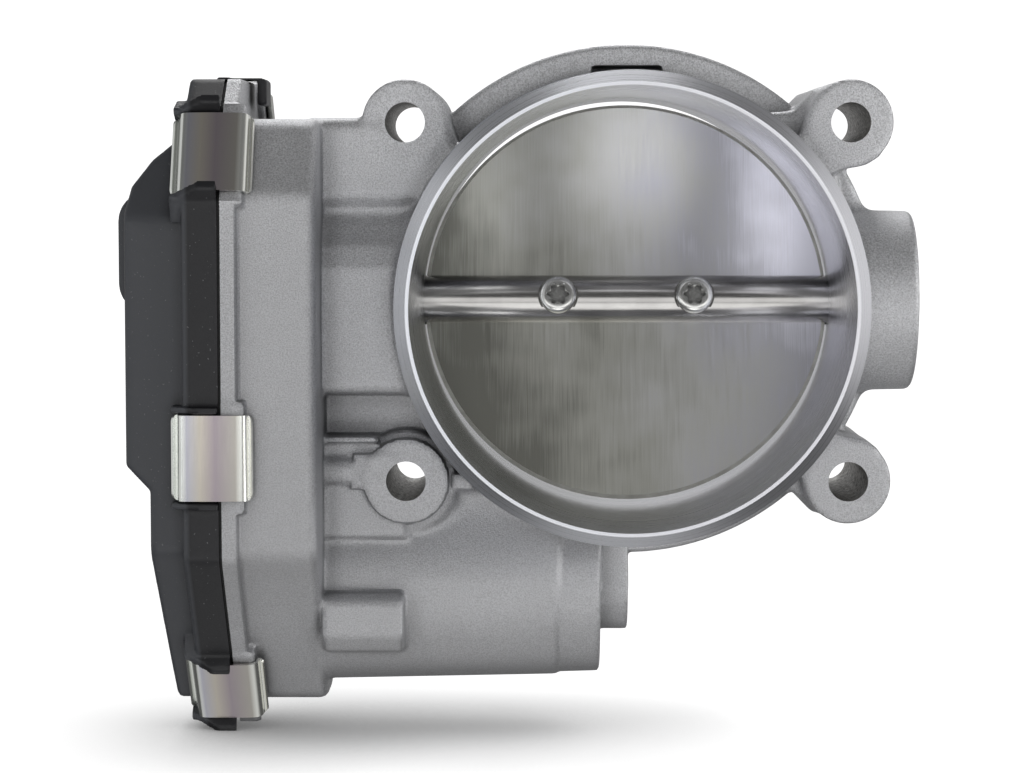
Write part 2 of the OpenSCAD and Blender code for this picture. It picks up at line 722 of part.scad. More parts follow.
module motor_windings() {
    color("#A8672E") {
        ring_x(motor_front_x + 13.4, motor_front_x + 16.98, armature_r - 1.6, motor_shaft_r + 1.2, motor_at);
        ring_x(motor_end_x - 8.98, motor_end_x - 4, armature_r - 1.6, motor_shaft_r + 1.2, motor_at);
    }
}

module motor_commutator() {
    color("#B87333") ring_x(motor_front_x + 4.4, motor_front_x + 11.6, 4.2, motor_shaft_r, motor_at);
}

module motor_shaft() {
    color("#CFD0D2") along_x(pinion_x[0] - 0.5, motor_end_x + 3, motor_shaft_r, motor_at);
}

module motor_pinion() {
    color("#C2A25A") translate([0, motor_y, motor_z]) difference() {
        profile_x(pinion_x[0], pinion_x[1]) spur(pinion_teeth, pinion_module, pinion_tooth_angle);
        along_x(pinion_x[0] - 1, pinion_x[1] + 1, motor_shaft_r);
    }
}

module motor_wave_washer() {
    color("#9A9DA1") ring_x(motor_end_x + 0.1, motor_end_x + 0.7, 14.5, 10.5, motor_at);
}

module motor_screws() {
    color("#C8C8C2") for (s = motor_screw_at) {
        along_x(motor_front_x - 3.4, motor_front_x - 1.41, motor_screw_head_r, s);
        along_x(motor_front_x - 1.5, case_wall_x + 5, motor_screw_r, s);
    }
}

module motor_terminals() {
    color("#C9A86A") for (s = [-1, 1])
        block([-84, motor_y + s * 10 - 2, motor_z - 0.4],
            [motor_front_x + 3, motor_y + s * 10 + 2, motor_z + 0.4]);
}

// ---- Cover, gasket and clips ----

module cover_gasket() {
    color("#1B1C1E") difference() {
        profile_x(cover_joint_x + 0.02, joint_x - 0.02) polygon(rounded(grown(rim_outline, -0.7), 2.6));
        profile_x(cover_joint_x - 1, joint_x + 1) polygon(rounded(grown(rim_outline, -4.2), 2));
    }
}

// Outline of the dome at one height, cut back to its top and drawn in by inset.
function dome_outline(inset) =
    let(p = grown(rim_outline, -inset), top = dome_top_z - inset + dome_inset)
    [[p[0][0], 17], p[1], p[2], p[3], p[4], [p[5][0], 22], [-9, top], [-50, top]];

module dome(extra, lift) {
    z_far = 60;
    intersection() {
        profile_x(dome_high_x + lift, cover_joint_x) polygon(rounded(dome_outline(dome_inset + extra), 4));
        // side profile: high over the throttle shaft, low over the motor, with the top cut to a slope
        profile_y(rim_front, rim_rear + 1) polygon([[cover_joint_x, -z_far - 40],
            [dome_low_x + lift, -z_far - 40], [dome_low_x + lift, dome_step_z[1] + extra * 0.4],
            [dome_high_x + lift, dome_step_z[0] + extra * 0.4],
            [dome_high_x + lift, 18 - extra], [dome_high_x + lift + 2, 25.2 - extra],
            [dome_high_x + lift + 5, 28.4 - extra],
            [cover_flange_x, 34 - extra], [cover_joint_x, 40]]);
    }
}

module guide_ribs() {
    for (c = clip_places, s = [-1, 1]) {
        high = abs(c[2]) < 50 ? rear_rib_height : rib_height;
        translate([0, c[0], c[1]]) rotate([c[2], 0, 0])
            translate([0, 0, s * (clip_length / 2 + 1) - rib_t / 2]) linear_extrude(rib_t)
                polygon([[cover_flange_x - 2.4, -3.8], [cover_joint_x, -3.8], [cover_joint_x, high],
                    [cover_joint_x - 3.6, high], [cover_flange_x - 2.4, -0.4]]);
    }
}

module connector_profile(shrink) {
    polygon([for (p = rounded([[conn_x - conn_half[0] + shrink, conn_z - conn_half[1] + shrink],
        [conn_x + conn_half[0] - shrink, conn_z - conn_half[1] + shrink],
        [conn_x + conn_half[0] - shrink, conn_z + conn_half[1] - shrink],
        [conn_x - conn_half[0] + shrink, conn_z + conn_half[1] - shrink]], 6 - shrink, 8)) p]);
}

module cover() {
    color("#2C2D2F") difference() {
        union() {
            difference() {
                union() {
                    profile_x(cover_flange_x, cover_joint_x) polygon(rounded(rim_outline, 3));
                    dome(0, 0);
                    guide_ribs();
                    // tab that hooks over the top of the rim
                    block([cover_flange_x + 2, -32, rim_top - 3], [cover_joint_x, -22, rim_top + 1]);
                    block([cover_joint_x - 1, -32, rim_top + 0.2], [joint_x + rim_t + 1.6, -22, rim_top + 1]);
                    block([joint_x + rim_t, -32, rim_top - 4], [joint_x + rim_t + 1.6, -22, rim_top + 1]);
                }
                dome(cover_wall, cover_wall);
                profile_x(cover_flange_x + 1.4, cover_joint_x + 0.01)
                    polygon(rounded(grown(rim_outline, -5.4), 2.5));
            }
            // seats of the intermediate pin and the connector
            intersection() {
                dome(0, 0);
                along_x(dome_high_x, idler_pin_x[0] + 3, 4, idler_at);
            }
            profile_y(conn_y[0], conn_y[1]) connector_profile(0);
            // catch for the plug, rib on the dome, and sockets for the motor terminals
            block([conn_x - conn_half[0] - 1.2, -13, conn_z - 3], [conn_x, -3, conn_z + 2.4]);
            block([dome_high_x - 0.7, -46, 19], [dome_high_x + 4, -28, 26]);
            for (s = [-1, 1])
                block([dome_low_x + 0.5, motor_y + s * 10 - 3.4, motor_z - 1.8],
                    [-81.4, motor_y + s * 10 + 3.4, motor_z + 1.8]);
        }
        along_x(idler_pin_x[0], joint_x, idler_pin_r + fit_gap, idler_at);
        for (s = [-1, 1])
            block([-86, motor_y + s * 10 - 2.04, motor_z - 0.44],
                [-81, motor_y + s * 10 + 2.04, motor_z + 0.44]);
        profile_y(conn_web_y, conn_y[1] + 1) connector_profile(conn_wall);
        profile_y(conn_y[0] + 1.4, conn_web_y - 1.6) connector_profile(conn_wall);
        block([cover_flange_x - 9.5, conn_y[0] - 1, conn_z - 8.5],
            [cover_flange_x + 2.6, conn_web_y - 2, conn_z + 8.5]);
        for (i = [-1 : 1], j = [-1, 1])
            block([conn_x + j * 3 - 0.42, conn_web_y - 3, conn_z + i * pin_pitch - 0.82],
                [conn_x + j * 3 + 0.42, conn_web_y + 1, conn_z + i * pin_pitch + 0.82]);
    }
}

// One clip, drawn with its web facing +Y and its length along Z: legs down both sides, tips flared.
module clip() {
    web_y = 0.42;
    x0 = cover_flange_x - 0.5;
    x1 = joint_x + rim_t + 0.35;
    inner = [[x0 - 0.8, -2.9], [x0 + 0.1, -2.1], [x0 - 0.2, -1], [x0 + 0.5, web_y], [x1 - 0.3, web_y],
        [x1 + 0.2, -0.3], [x1 + 0.05, -0.75], [x1 + 0.95, -1.2]];
    outer = [[x1 + 1.25, -0.8], [x1 + 0.6, -0.5], [x1 + 0.65, -0.1], [x1 + 0.5, web_y + 0.1],
        [x1 - 0.1, web_y + clip_sheet], [x0 + 0.3, web_y + clip_sheet], [x0 - 0.5, web_y + 0.1],
        [x0 - 0.8, -1], [x0 - 0.5, -2.1], [x0 - 1.3, -2.6]];
    translate([0, 0, -clip_length / 2]) linear_extrude(clip_length) polygon(concat(inner, outer));
}

module spring_clips() {
    color("#BDB9B0") for (c = clip_places)
        translate([0, c[0], c[1]]) rotate([c[2], 0, 0]) clip();
}

// ---- Sensor and connections ----

module sensor_board() {
    color("#24513A") difference() {
        block([-89.8, -52, -14], [-88.2, -25, 16]);
        for (z = [-10, 12])
            along_x(-91, -87, 1.3, [-48.5, z]);
    }
}

module sensor_chips() {
    color("#202225") {
        block([-88.18, shaft_y - 3, -3], [-86.8, shaft_y + 3, 3]);
        block([-88.18, shaft_y - 14, 4], [-87, shaft_y - 9, 10]);
    }
}

module connector_terminals() {
    color("#C9A86A") for (i = [-1 : 1], j = [-1, 1])
        block([conn_x + j * 3 - 0.4, -22, conn_z + i * pin_pitch - 0.8],
            [conn_x + j * 3 + 0.4, conn_y[1] - 5, conn_z + i * pin_pitch + 0.8]);
}

housing();
throttle_plate();
throttle_shaft();
plate_screws();
needle_bearing_cup();
needle_rollers();
ball_bearing_outer_race();
ball_bearing_balls();
ball_bearing_inner_race();
gear_side_seal();
far_side_seal();
shaft_end_plug();
sector_gear();
sensor_magnet();
return_spring();
throttle_stop_screw();
intermediate_gear();
intermediate_pin();
motor_can();
motor_magnets();
motor_end_plate();
motor_brushes();
motor_bushes();
motor_armature();
motor_windings();
motor_commutator();
motor_shaft();
motor_pinion();
motor_wave_washer();
motor_screws();
motor_terminals();
cover_gasket();
cover();
spring_clips();
sensor_board();
sensor_chips();
connector_terminals();
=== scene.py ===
"""Looks of an electronic throttle body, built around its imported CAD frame.

The casting and the cover are modelled as signed-distance fields, which gives them the soft fillets of
real castings and mouldings, and are then machined with exact cutters. Sizes are in millimetres until a
mesh is made; the frame is in metres. X is the throttle shaft, Y the bore, Z is up.
"""

import json
import math

import bmesh
import bpy
import numpy as np
import openvdb
from mathutils import Matrix, Vector


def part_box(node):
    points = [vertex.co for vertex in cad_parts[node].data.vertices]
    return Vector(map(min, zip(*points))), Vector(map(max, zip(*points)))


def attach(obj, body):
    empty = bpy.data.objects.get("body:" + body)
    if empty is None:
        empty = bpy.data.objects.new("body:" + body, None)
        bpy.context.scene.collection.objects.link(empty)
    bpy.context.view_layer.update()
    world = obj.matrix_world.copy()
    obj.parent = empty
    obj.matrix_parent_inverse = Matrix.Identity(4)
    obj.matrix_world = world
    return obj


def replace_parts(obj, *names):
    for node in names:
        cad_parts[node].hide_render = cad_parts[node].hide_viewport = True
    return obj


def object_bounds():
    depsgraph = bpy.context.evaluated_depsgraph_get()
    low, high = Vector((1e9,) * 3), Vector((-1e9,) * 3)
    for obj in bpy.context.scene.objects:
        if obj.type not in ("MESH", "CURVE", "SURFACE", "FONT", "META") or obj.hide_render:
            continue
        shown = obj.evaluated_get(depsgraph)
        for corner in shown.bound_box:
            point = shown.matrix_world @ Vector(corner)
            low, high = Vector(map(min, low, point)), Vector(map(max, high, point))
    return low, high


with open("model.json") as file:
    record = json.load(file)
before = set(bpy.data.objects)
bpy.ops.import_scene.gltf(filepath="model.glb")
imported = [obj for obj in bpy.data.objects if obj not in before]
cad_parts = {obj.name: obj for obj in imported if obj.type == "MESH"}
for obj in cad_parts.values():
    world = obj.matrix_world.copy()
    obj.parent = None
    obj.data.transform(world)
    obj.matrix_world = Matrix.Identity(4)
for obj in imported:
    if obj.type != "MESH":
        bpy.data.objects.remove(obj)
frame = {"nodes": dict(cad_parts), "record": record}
cad_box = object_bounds()
MM = 0.001


def mm_box(node):
    """Lowest and highest corners of a CAD node at rest, in millimetres."""
    return tuple(np.array(corner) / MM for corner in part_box(node))


def centre_of(node):
    low, high = mm_box(node)
    return (low + high) / 2


def radius_of(node):
    """Radius of a CAD node that is round about X, in millimetres."""
    low, high = mm_box(node)
    return (high[2] - low[2]) / 2


# ---- Sizes taken from the frame ----

HOUSING_LOW, HOUSING_HIGH = mm_box("housing")
COVER_LOW, COVER_HIGH = mm_box("cover")
LIP_Y = HOUSING_LOW[1]
JOINT_X = HOUSING_LOW[0]
FAR_END_X = HOUSING_HIGH[0]
FLANGE_R = HOUSING_HIGH[2]
SHAFT_Y = centre_of("throttle_shaft")[1]
SHAFT_R = radius_of("throttle_shaft")
PLATE_R = mm_box("throttle_plate")[1][0]
MOTOR_Y, MOTOR_Z = centre_of("motor_can")[1:]
MOTOR_R = radius_of("motor_can")
MOTOR_END_X = mm_box("motor_can")[1][0]
IDLER_Y, IDLER_Z = centre_of("intermediate_pin")[1:]
IDLER_PIN_R = radius_of("intermediate_pin")
COVER_JOINT_X = mm_box("cover_gasket")[0][0]

# ---- Sizes of the throttle plate ----

REST_TILT = math.radians(14)
PLATE_EDGE = 0.75

# ---- Sizes of the casting ----
# RIM and BODY are outlines in Y and Z. CLIP_EDGES lists an edge of RIM and the place along it of each clip.

GRID_STEP = 0.6
BORE_R = PLATE_R + 0.25
SPIGOT_R = 45.4
CAST_R = SPIGOT_R + 0.8
SPIGOT_END_Y = LIP_Y + 27.1
LIP_CHAMFER = 3.1
LIP_FACE_R = [BORE_R + 1.2, SPIGOT_R - 2.3]
FLANGE_T = 32.6
BOLT = (44.5, 36.0)
BOLT_R = 4.0
BOSS_R = 8.6
BOSS_Y = -44.2
SHAFT_BOSS_R = 18.5
NEEDLE_SEAT_R = 7.02
SEAL_SEAT_R = 7.62
BALL_SEAT_R = 11.02
PLUG_SEAT_R = 12.02
WALL_X = -61.2
FLOOR_X = WALL_X - 2.8
RIM_T = 4.4
WALL_T = 1.8
RIM = [(-62, 20.5), (-62, -50), (-31.2, -86.2), (-17, -86.2), (-1.4, -65.5), (-1.4, 30), (-16, 44.6),
       (-45, 44.6), (-53, 39)]
BODY = [(-60, 21.6), (-60, -49.3), (-30.4, -82.9), (-17.6, -82.9), (-3.4, -64.5), (-3.4, 28), (-12, 36.6),
        (-52, 36.6)]
CLIP_EDGES = [(0, 0.711), (8, 0.5), (1, 0.812), (5, 0.5), (4, 0.54), (3, 0.5)]
CLIP_LENGTH = 16.8
MOTOR_WALL_R = 19.6

# ---- Sizes of the plate screws ----

SCREW_HALF_GAP = 13.85
SCREW_SEAT = 4.4
SCREW_HEAD = (3.75, 2.2)
SCREW_SHANK_R = 2.0

# ---- Sizes of the cover ----

FLANGE_X = COVER_JOINT_X - 7
DOME_INSET = 3.4
DOME_HIGH_X = JOINT_X - 19.2
DOME_LOW_X = JOINT_X - 14.5
DOME_TOP = 35
COVER_WALL = 2.2
COVER_GRID_STEP = 0.42
CONN = (-94.0, 9.5)
CONN_HALF = (11.0, 12.5)
CONN_Y = (-24.0, -0.8)
CONN_WALL = 1.6

# ---- Sizes of the clips ----

CLIP_T = 0.5
CLIP_CORNER = 1.3
CLIP_COLUMNS = 14

# ---- Studio ----
# The camera's place and the reach of the floor's shade are in millimetres, the other lengths in metres.

CAMERA_PLACE = (-17.7, -619.4, 25.2)
CAMERA_YAW = -0.44
CAMERA_PITCH = 4.18
CAMERA_LENS = 100
SENSOR_WIDTH = 36
ROOM_GLOW = 0.09
BACKDROP_Y = 0.9
FLOOR_GAP = 0.0005
FLOOR_SHADE_REACH = 42


# ---- Outlines ----

def grown(points, d):
    """A counter-clockwise outline moved out by d, with mitred corners."""
    p = np.array(points, float)
    before, after = p - np.roll(p, 1, 0), np.roll(p, -1, 0) - p
    n0 = np.stack([before[:, 1], -before[:, 0]], 1) / np.linalg.norm(before, axis=1)[:, None]
    n1 = np.stack([after[:, 1], -after[:, 0]], 1) / np.linalg.norm(after, axis=1)[:, None]
    return p + d * (n0 + n1) / (1 + (n0 * n1).sum(1))[:, None]


def softened(points, r, steps=6):
    """An outline whose corners are arcs of radius r."""
    p = np.array(points, float)
    out = []
    for a, b, c in zip(np.roll(p, 1, 0), p, np.roll(p, -1, 0)):
        u, v = (a - b) / np.linalg.norm(a - b), (c - b) / np.linalg.norm(c - b)
        half = math.acos(np.clip(u @ v, -1, 1)) / 2
        reach = min(r / math.tan(half), 0.48 * np.linalg.norm(a - b), 0.48 * np.linalg.norm(c - b))
        radius = reach * math.tan(half)
        mid = b + (u + v) / np.linalg.norm(u + v) * radius / math.sin(half)
        start = math.atan2(*(b + u * reach - mid)[::-1])
        turn = (math.atan2(*(b + v * reach - mid)[::-1]) - start + math.pi) % (2 * math.pi) - math.pi
        for i in range(steps + 1):
            angle = start + turn * i / steps
            out.append(mid + radius * np.array([math.cos(angle), math.sin(angle)]))
    return np.array(out)


class RimSpot:
    """A place on an edge of the rim outline; run goes along the edge and out away from it, in Y and Z."""

    def __init__(self, edge, along, offset=0.0):
        a, b = np.array(RIM[edge], float), np.array(RIM[(edge + 1) % len(RIM)], float)
        self.run = (b - a) / np.linalg.norm(b - a)
        self.out = np.array([self.run[1], -self.run[0]])
        self.at = a + (b - a) * along + self.run * offset

    def measure(self, y, z):
        """Distances from the spot, along the edge and out from it."""
        y, z = y - self.at[0], z - self.at[1]
        return y * self.run[0] + z * self.run[1], y * self.out[0] + z * self.out[1]

    def span(self, x, run, out):
        """Lowest and highest corners of a box given by its ranges in X, along the edge and out from it."""
        corners = np.array([self.at + self.run * a + self.out * b for a in run for b in out])
        return np.array([x[0], *corners.min(0)]), np.array([x[1], *corners.max(0)])


def rectangle(u0, u1, v0, v1):
    return [(u0, v0), (u1, v0), (u1, v1), (u0, v1)]


def mirrored(outline, z):
    """An outline as drawn for z = 1 and turned upside down for z = -1, still counter-clockwise."""
    points = np.array(outline, float) * (1, z)
    return points if z > 0 else points[::-1]


# ---- Signed-distance fields ----

def smooth_min(a, b, k):
    """The smaller of two distances, with a fillet about k wide where they cross."""
    if k <= 0:
        return np.minimum(a, b)
    h = np.clip(0.5 + 0.5 * (b - a) / k, 0, 1)
    return b + (a - b) * h - k * h * (1 - h)


def meet(a, b, r):
    """Distance to what lies inside both, with the edge between them rounded by r."""
    if r <= 0:
        return np.maximum(a, b)
    return np.minimum(np.maximum(a, b) + r, 0) + np.hypot(np.maximum(a + r, 0), np.maximum(b + r, 0)) - r


def box_distance(places, mid, half, r):
    """Signed distance to a box with its edges rounded by r."""
    q = [np.abs(p - m) - h + r for p, m, h in zip(places, mid, half)]
    outside = np.sqrt(sum(np.maximum(a, 0) ** 2 for a in q))
    return outside + np.minimum(np.maximum(np.maximum(q[0], q[1]), q[2]), 0) - r


def outline_distance(points, u, v):
    """Signed distance in the plane to a closed outline, negative inside."""
    u, v = np.broadcast_arrays(u, v)
    best = np.full(u.shape, 1e9, np.float32)
    inside = np.zeros(u.shape, bool)
    for a, b in zip(points, np.roll(points, -1, 0)):
        e = b - a
        t = np.clip(((u - a[0]) * e[0] + (v - a[1]) * e[1]) / max(e @ e, 1e-12), 0, 1)
        best = np.minimum(best, (u - a[0] - t * e[0]) ** 2 + (v - a[1] - t * e[1]) ** 2)
        if a[1] != b[1]:
            crossing = (a[1] <= v) != (b[1] <= v)
            inside ^= crossing & (u < a[0] + (v - a[1]) / e[1] * e[0])
    return np.where(inside, -1, 1) * np.sqrt(best)


class Field:
    """Signed distances on a regular grid of points, negative inside."""

    FAR = 60.0

    def __init__(self, low, high, step):
        self.step, self.low = step, np.array(low, float)
        axes = [np.arange(a, b + step, step, dtype=np.float32) for a, b in zip(low, high)]
        self.axes = np.ix_(*axes)
        self.d = np.full([len(a) for a in axes], self.FAR, np.float32)

    def window(self, low, high, reach):
        """The part of the grid that lies within reach of a box."""
        first = np.maximum(((np.array(low) - reach - self.low) / self.step).astype(int), 0)
        last = np.maximum(((np.array(high) + reach - self.low) / self.step).astype(int) + 2, first + 1)
        return tuple(slice(a, b) for a, b in zip(first, last))

    def apply(self, shape, blend, join):
        low, high, distance = shape
        w = self.window(low, high, blend + 4)
        points = []
        for i, axis in enumerate(self.axes):
            points.append(axis[tuple(w[j] if j == i else slice(None) for j in range(3))])
        self.d[w] = join(self.d[w], distance(*points), blend)

    def add(self, shape, blend=0.0):
        self.apply(shape, blend, smooth_min)

    def cut(self, shape, blend=0.0):
        self.apply(shape, blend, lambda a, b, k: -smooth_min(-a, b, k))

    def mesh(self, name, flatness=0.0):
        """The surface as a mesh in metres; flatness joins triangles on flat places."""
        grid = openvdb.FloatGrid(self.FAR)
        grid.copyFromArray(self.d)
        points, triangles, quads = grid.convertToPolygons(0.0, flatness)
        points = (points * self.step + self.low) * MM
        made = bpy.data.meshes.new(name)
        faces = [tuple(f) for f in triangles.tolist()] + [tuple(f) for f in quads.tolist()]
        made.from_pydata(points.tolist(), [], faces)
        made.update()
        return made


def rod(axis, a0, a1, r, at=(0, 0), edge=0.6, end_r=None):
    """A round bar along an axis; at is its centre in the other two axes, and end_r its radius at a1."""
    others = [i for i in range(3) if i != axis]
    biggest = max(r, end_r or r)
    low, high = np.zeros(3), np.zeros(3)
    low[axis], high[axis] = a0, a1
    for i, c in zip(others, at):
        low[i], high[i] = c - biggest, c + biggest

    def distance(*xyz):
        along = xyz[axis]
        radius = r if end_r is None else r + (end_r - r) * np.clip((along - a0) / (a1 - a0), 0, 1)
        side = np.hypot(xyz[others[0]] - at[0], xyz[others[1]] - at[1]) - radius
        return meet(side, np.abs(along - (a0 + a1) / 2) - (a1 - a0) / 2, edge)
    return low, high, distance


def prism(axis, a0, a1, outline, edge=0.6, corner=0.0):
    """An outline drawn in the other two axes and carried along one axis, with rounded edges and corners."""
    others = [i for i in range(3) if i != axis]
    points = softened(outline, corner) if corner > 0 else np.array(outline, float)
    low, high = np.zeros(3), np.zeros(3)
    low[axis], high[axis] = a0, a1
    low[others], high[others] = points.min(0), points.max(0)

    def distance(*xyz):
        side = outline_distance(points, xyz[others[0]], xyz[others[1]])
        return meet(side, np.abs(xyz[axis] - (a0 + a1) / 2) - (a1 - a0) / 2, edge)
    return low, high, distance


def box(low, high, edge=0.6):
    """A box with every edge rounded."""
    low, high = np.array(low, float), np.array(high, float)
    half, mid = (high - low) / 2, (high + low) / 2

    def distance(*xyz):
        return box_distance(xyz, mid, half, edge)
    return low, high, distance


def rim_box(edge, along, low, high, r=0.4):
    """A box on the rim: X, then along the rim edge, then out from it."""
    spot = RimSpot(edge, along)
    mid = [(a + b) / 2 for a, b in zip(low, high)]
    half = [(b - a) / 2 for a, b in zip(low, high)]

    def distance(x, y, z):
        return box_distance((x, *spot.measure(y, z)), mid, half, r)
    return *spot.span(*zip(low, high)), distance


# ---- Mesh helpers ----

def new_object(name, data):
    made = bpy.data.objects.new(name, data)
    bpy.context.scene.collection.objects.link(made)
    return made


def object_from(name, bm):
    """A new object from a bmesh, which goes."""
    mesh = bpy.data.meshes.new(name)
    bm.to_mesh(mesh)
    bm.free()
    return new_object(name, mesh)


def join_rings(bm, rings, closed):
    """Faces between neighbouring rings of vertices, the last one joined to the first."""
    count = len(rings[0])
    for a, b in zip(rings, rings[1:] + rings[:1]):
        for j in range(count if closed else count - 1):
            k = (j + 1) % count
            bm.faces.new((a[j], a[k], b[k], b[j]))


def turned(name, profile, axis="Y", at=(0, 0), steps=180):
    """A closed profile of (radius, place along the axis), turned about the axis, in millimetres."""
    bm = bmesh.new()
    rings = []
    for i in range(steps):
        angle = 2 * math.pi * i / steps
        c, s = math.cos(angle), math.sin(angle)
        ring = []
        for r, p in profile:
            u, v = r * c + at[0], r * s + at[1]
            place = (u, p, v) if axis == "Y" else (p, u, v)
            ring.append(bm.verts.new(Vector(place) * MM))
        rings.append(ring)
    join_rings(bm, rings, True)
    bmesh.ops.remove_doubles(bm, verts=bm.verts, dist=1e-7)
    bmesh.ops.recalc_face_normals(bm, faces=bm.faces)
    return object_from(name, bm)


def plain_box(name, low, high):
    bm = bmesh.new()
    bmesh.ops.create_cube(bm, size=1)
    low, high = np.array(low, float), np.array(high, float)
    for v in bm.verts:
        v.co = Vector((np.array(v.co) + 0.5) * (high - low) + low) * MM
    return object_from(name, bm)


def bake_modifiers(piece):
    """Replaces a piece's mesh with what its modifiers make of it."""
    graph = bpy.context.evaluated_depsgraph_get()
    mesh = bpy.data.meshes.new_from_object(piece.evaluated_get(graph))
    piece.modifiers.clear()
    piece.data = mesh


def machine(piece, cutter, material):
    """Cuts a cutter out of a piece; the faces it leaves take the given material. The cutter goes."""
    cutter.data.materials.append(material)
    cut = piece.modifiers.new("cut", "BOOLEAN")
    cut.operation, cut.object, cut.solver = "DIFFERENCE", cutter, "MANIFOLD"
    cut.material_mode = "TRANSFER"
    bake_modifiers(piece)
    bpy.data.objects.remove(cutter)


def smooth(piece, degrees=35):
    """Smooth shading, with edges sharper than the angle kept crisp."""
    mesh = piece.data
    mesh.polygons.foreach_set("use_smooth", [True] * len(mesh.polygons))
    bm = bmesh.new()
    bm.from_mesh(mesh)
    limit = math.radians(degrees)
    for e in bm.edges:
        e.smooth = len(e.link_faces) == 2 and e.calc_face_angle(0) < limit
    bm.to_mesh(mesh)
    bm.free()


# ---- Materials ----

class Paint:
    """Builds one procedural material; lengths in its textures are in millimetres."""

    def __init__(self, name, color, metallic, roughness):
        self.material = bpy.data.materials.new(name)
        self.material.use_nodes = True
        self.nodes = self.material.node_tree.nodes
        self.links = self.material.node_tree.links
        self.shader = self.nodes["Principled BSDF"]
        self.color = color
        self.shader.inputs["Base Color"].default_value = (*color, 1)
        self.shader.inputs["Metallic"].default_value = metallic
        self.shader.inputs["Roughness"].default_value = roughness
        self.place = self.nodes.new("ShaderNodeTexCoord").outputs["Object"]
        self.height = None

    def stretched(self, scale):
        """Coordinates in millimetres, squeezed by scale in each axis."""
        mapping = self.nodes.new("ShaderNodeMapping")
        mapping.inputs["Scale"].default_value = [s / MM for s in scale]
        self.links.new(self.place, mapping.inputs["Vector"])
        return mapping.outputs["Vector"]

    def noise(self, size, detail=3, rough=0.55, scale=(1, 1, 1)):
        """Noise with features about size millimetres across."""
        return self.noise_at(self.stretched([s / size for s in scale]), detail, rough)

    def noise_at(self, place, detail, rough):
        node = self.nodes.new("ShaderNodeTexNoise")
        node.inputs["Scale"].default_value = 1.0
        node.inputs["Detail"].default_value = detail
        node.inputs["Roughness"].default_value = rough
        self.links.new(place, node.inputs["Vector"])
        return node.outputs["Fac"]

    def along(self, axis):
        """Place along an axis of the frame, in millimetres."""
        split = self.nodes.new("ShaderNodeSeparateXYZ")
        self.links.new(self.stretched((1, 1, 1)), split.inputs[0])
        return split.outputs[axis]

    def rings(self, pitch):
        """Fine turning marks about the bore."""
        x, y, z = (self.along(axis) for axis in "XYZ")
        squares = self.math("ADD", self.math("MULTIPLY", x, x), self.math("MULTIPLY", z, z))
        joined = self.nodes.new("ShaderNodeCombineXYZ")
        for value, socket in zip((self.math("SQRT", squares), y), joined.inputs):
            self.links.new(self.math("MULTIPLY", value, 1 / pitch), socket)
        return self.noise_at(joined.outputs[0], 2, 0.5)

    def math(self, operation, a, b=None):
        node = self.nodes.new("ShaderNodeMath")
        node.operation = operation
        for socket, value in zip(node.inputs, (a, b)):
            if value is None:
                continue
            if isinstance(value, (int, float)):
                socket.default_value = value
            else:
                self.links.new(value, socket)
        return node.outputs[0]

    def spread(self, value, low, high, from_low=0.3, from_high=0.7):
        """Maps a value from one range to another, held at both ends."""
        node = self.nodes.new("ShaderNodeMapRange")
        node.inputs["From Min"].default_value = from_low
        node.inputs["From Max"].default_value = from_high
        node.inputs["To Min"].default_value = low
        node.inputs["To Max"].default_value = high
        self.links.new(value, node.inputs["Value"])
        return node.outputs["Result"]

    def mix(self, factor, a, b, blend="MIX"):
        """Base colour mixed from two others, each a colour or a socket."""
        node = self.nodes.new("ShaderNodeMix")
        node.data_type, node.blend_type = "RGBA", blend
        for name, value in (("Factor", factor), ("A", a), ("B", b)):
            if isinstance(value, tuple):
                node.inputs[name].default_value = (*value, 1)
            elif isinstance(value, float):
                node.inputs[name].default_value = value
            else:
                self.links.new(value, node.inputs[name])
        self.feed("Base Color", node.outputs["Result"])

    def feed(self, name, socket):
        self.links.new(socket, self.shader.inputs[name])

    def painted(self):
        """The socket that the base colour comes from so far."""
        return self.shader.inputs["Base Color"].links[0].from_socket

    def tint(self, value, low, high):
        """Varies the base colour between two multiples of it, or between two colours."""
        ends = [k if isinstance(k, tuple) else tuple(min(1, c * k) for c in self.color) for k in (low, high)]
        self.mix(value, *ends)

    def ramp(self, value, stops):
        """Base colour from a list of (place, colour) stops."""
        node = self.nodes.new("ShaderNodeValToRGB")
        while len(node.color_ramp.elements) < len(stops):
            node.color_ramp.elements.new(0.5)
        for element, (place, color) in zip(node.color_ramp.elements, stops):
            element.position = place
            element.color = (*color, 1)
        self.links.new(value, node.inputs["Fac"])
        self.feed("Base Color", node.outputs["Color"])

    def openness(self, reach):
        """How open the surface is: 1 where nothing stands within reach millimetres."""
        near = self.nodes.new("ShaderNodeAmbientOcclusion")
        near.samples = 6
        near.inputs["Distance"].default_value = reach * MM
        return near.outputs["AO"]

    def paint_crevice_shade(self, reach, dark, closed=0.35, opened=0.95):
        """Paints shade into the base colour where other surfaces stand within reach millimetres."""
        shade = self.spread(self.openness(reach), dark, 1.0, closed, opened)
        self.mix(1.0, self.painted(), shade, "MULTIPLY")

    def rough(self, value, low, high):
        self.feed("Roughness", self.spread(value, low, high))

    def bump(self, value, depth):
        """Adds relief of the given depth in millimetres."""
        node = self.nodes.new("ShaderNodeBump")
        node.inputs["Distance"].default_value = depth * MM
        node.inputs["Strength"].default_value = 1.0
        self.links.new(value, node.inputs["Height"])
        if self.height is not None:
            self.links.new(self.height, node.inputs["Normal"])
        self.height = node.outputs["Normal"]
        self.feed("Normal", self.height)


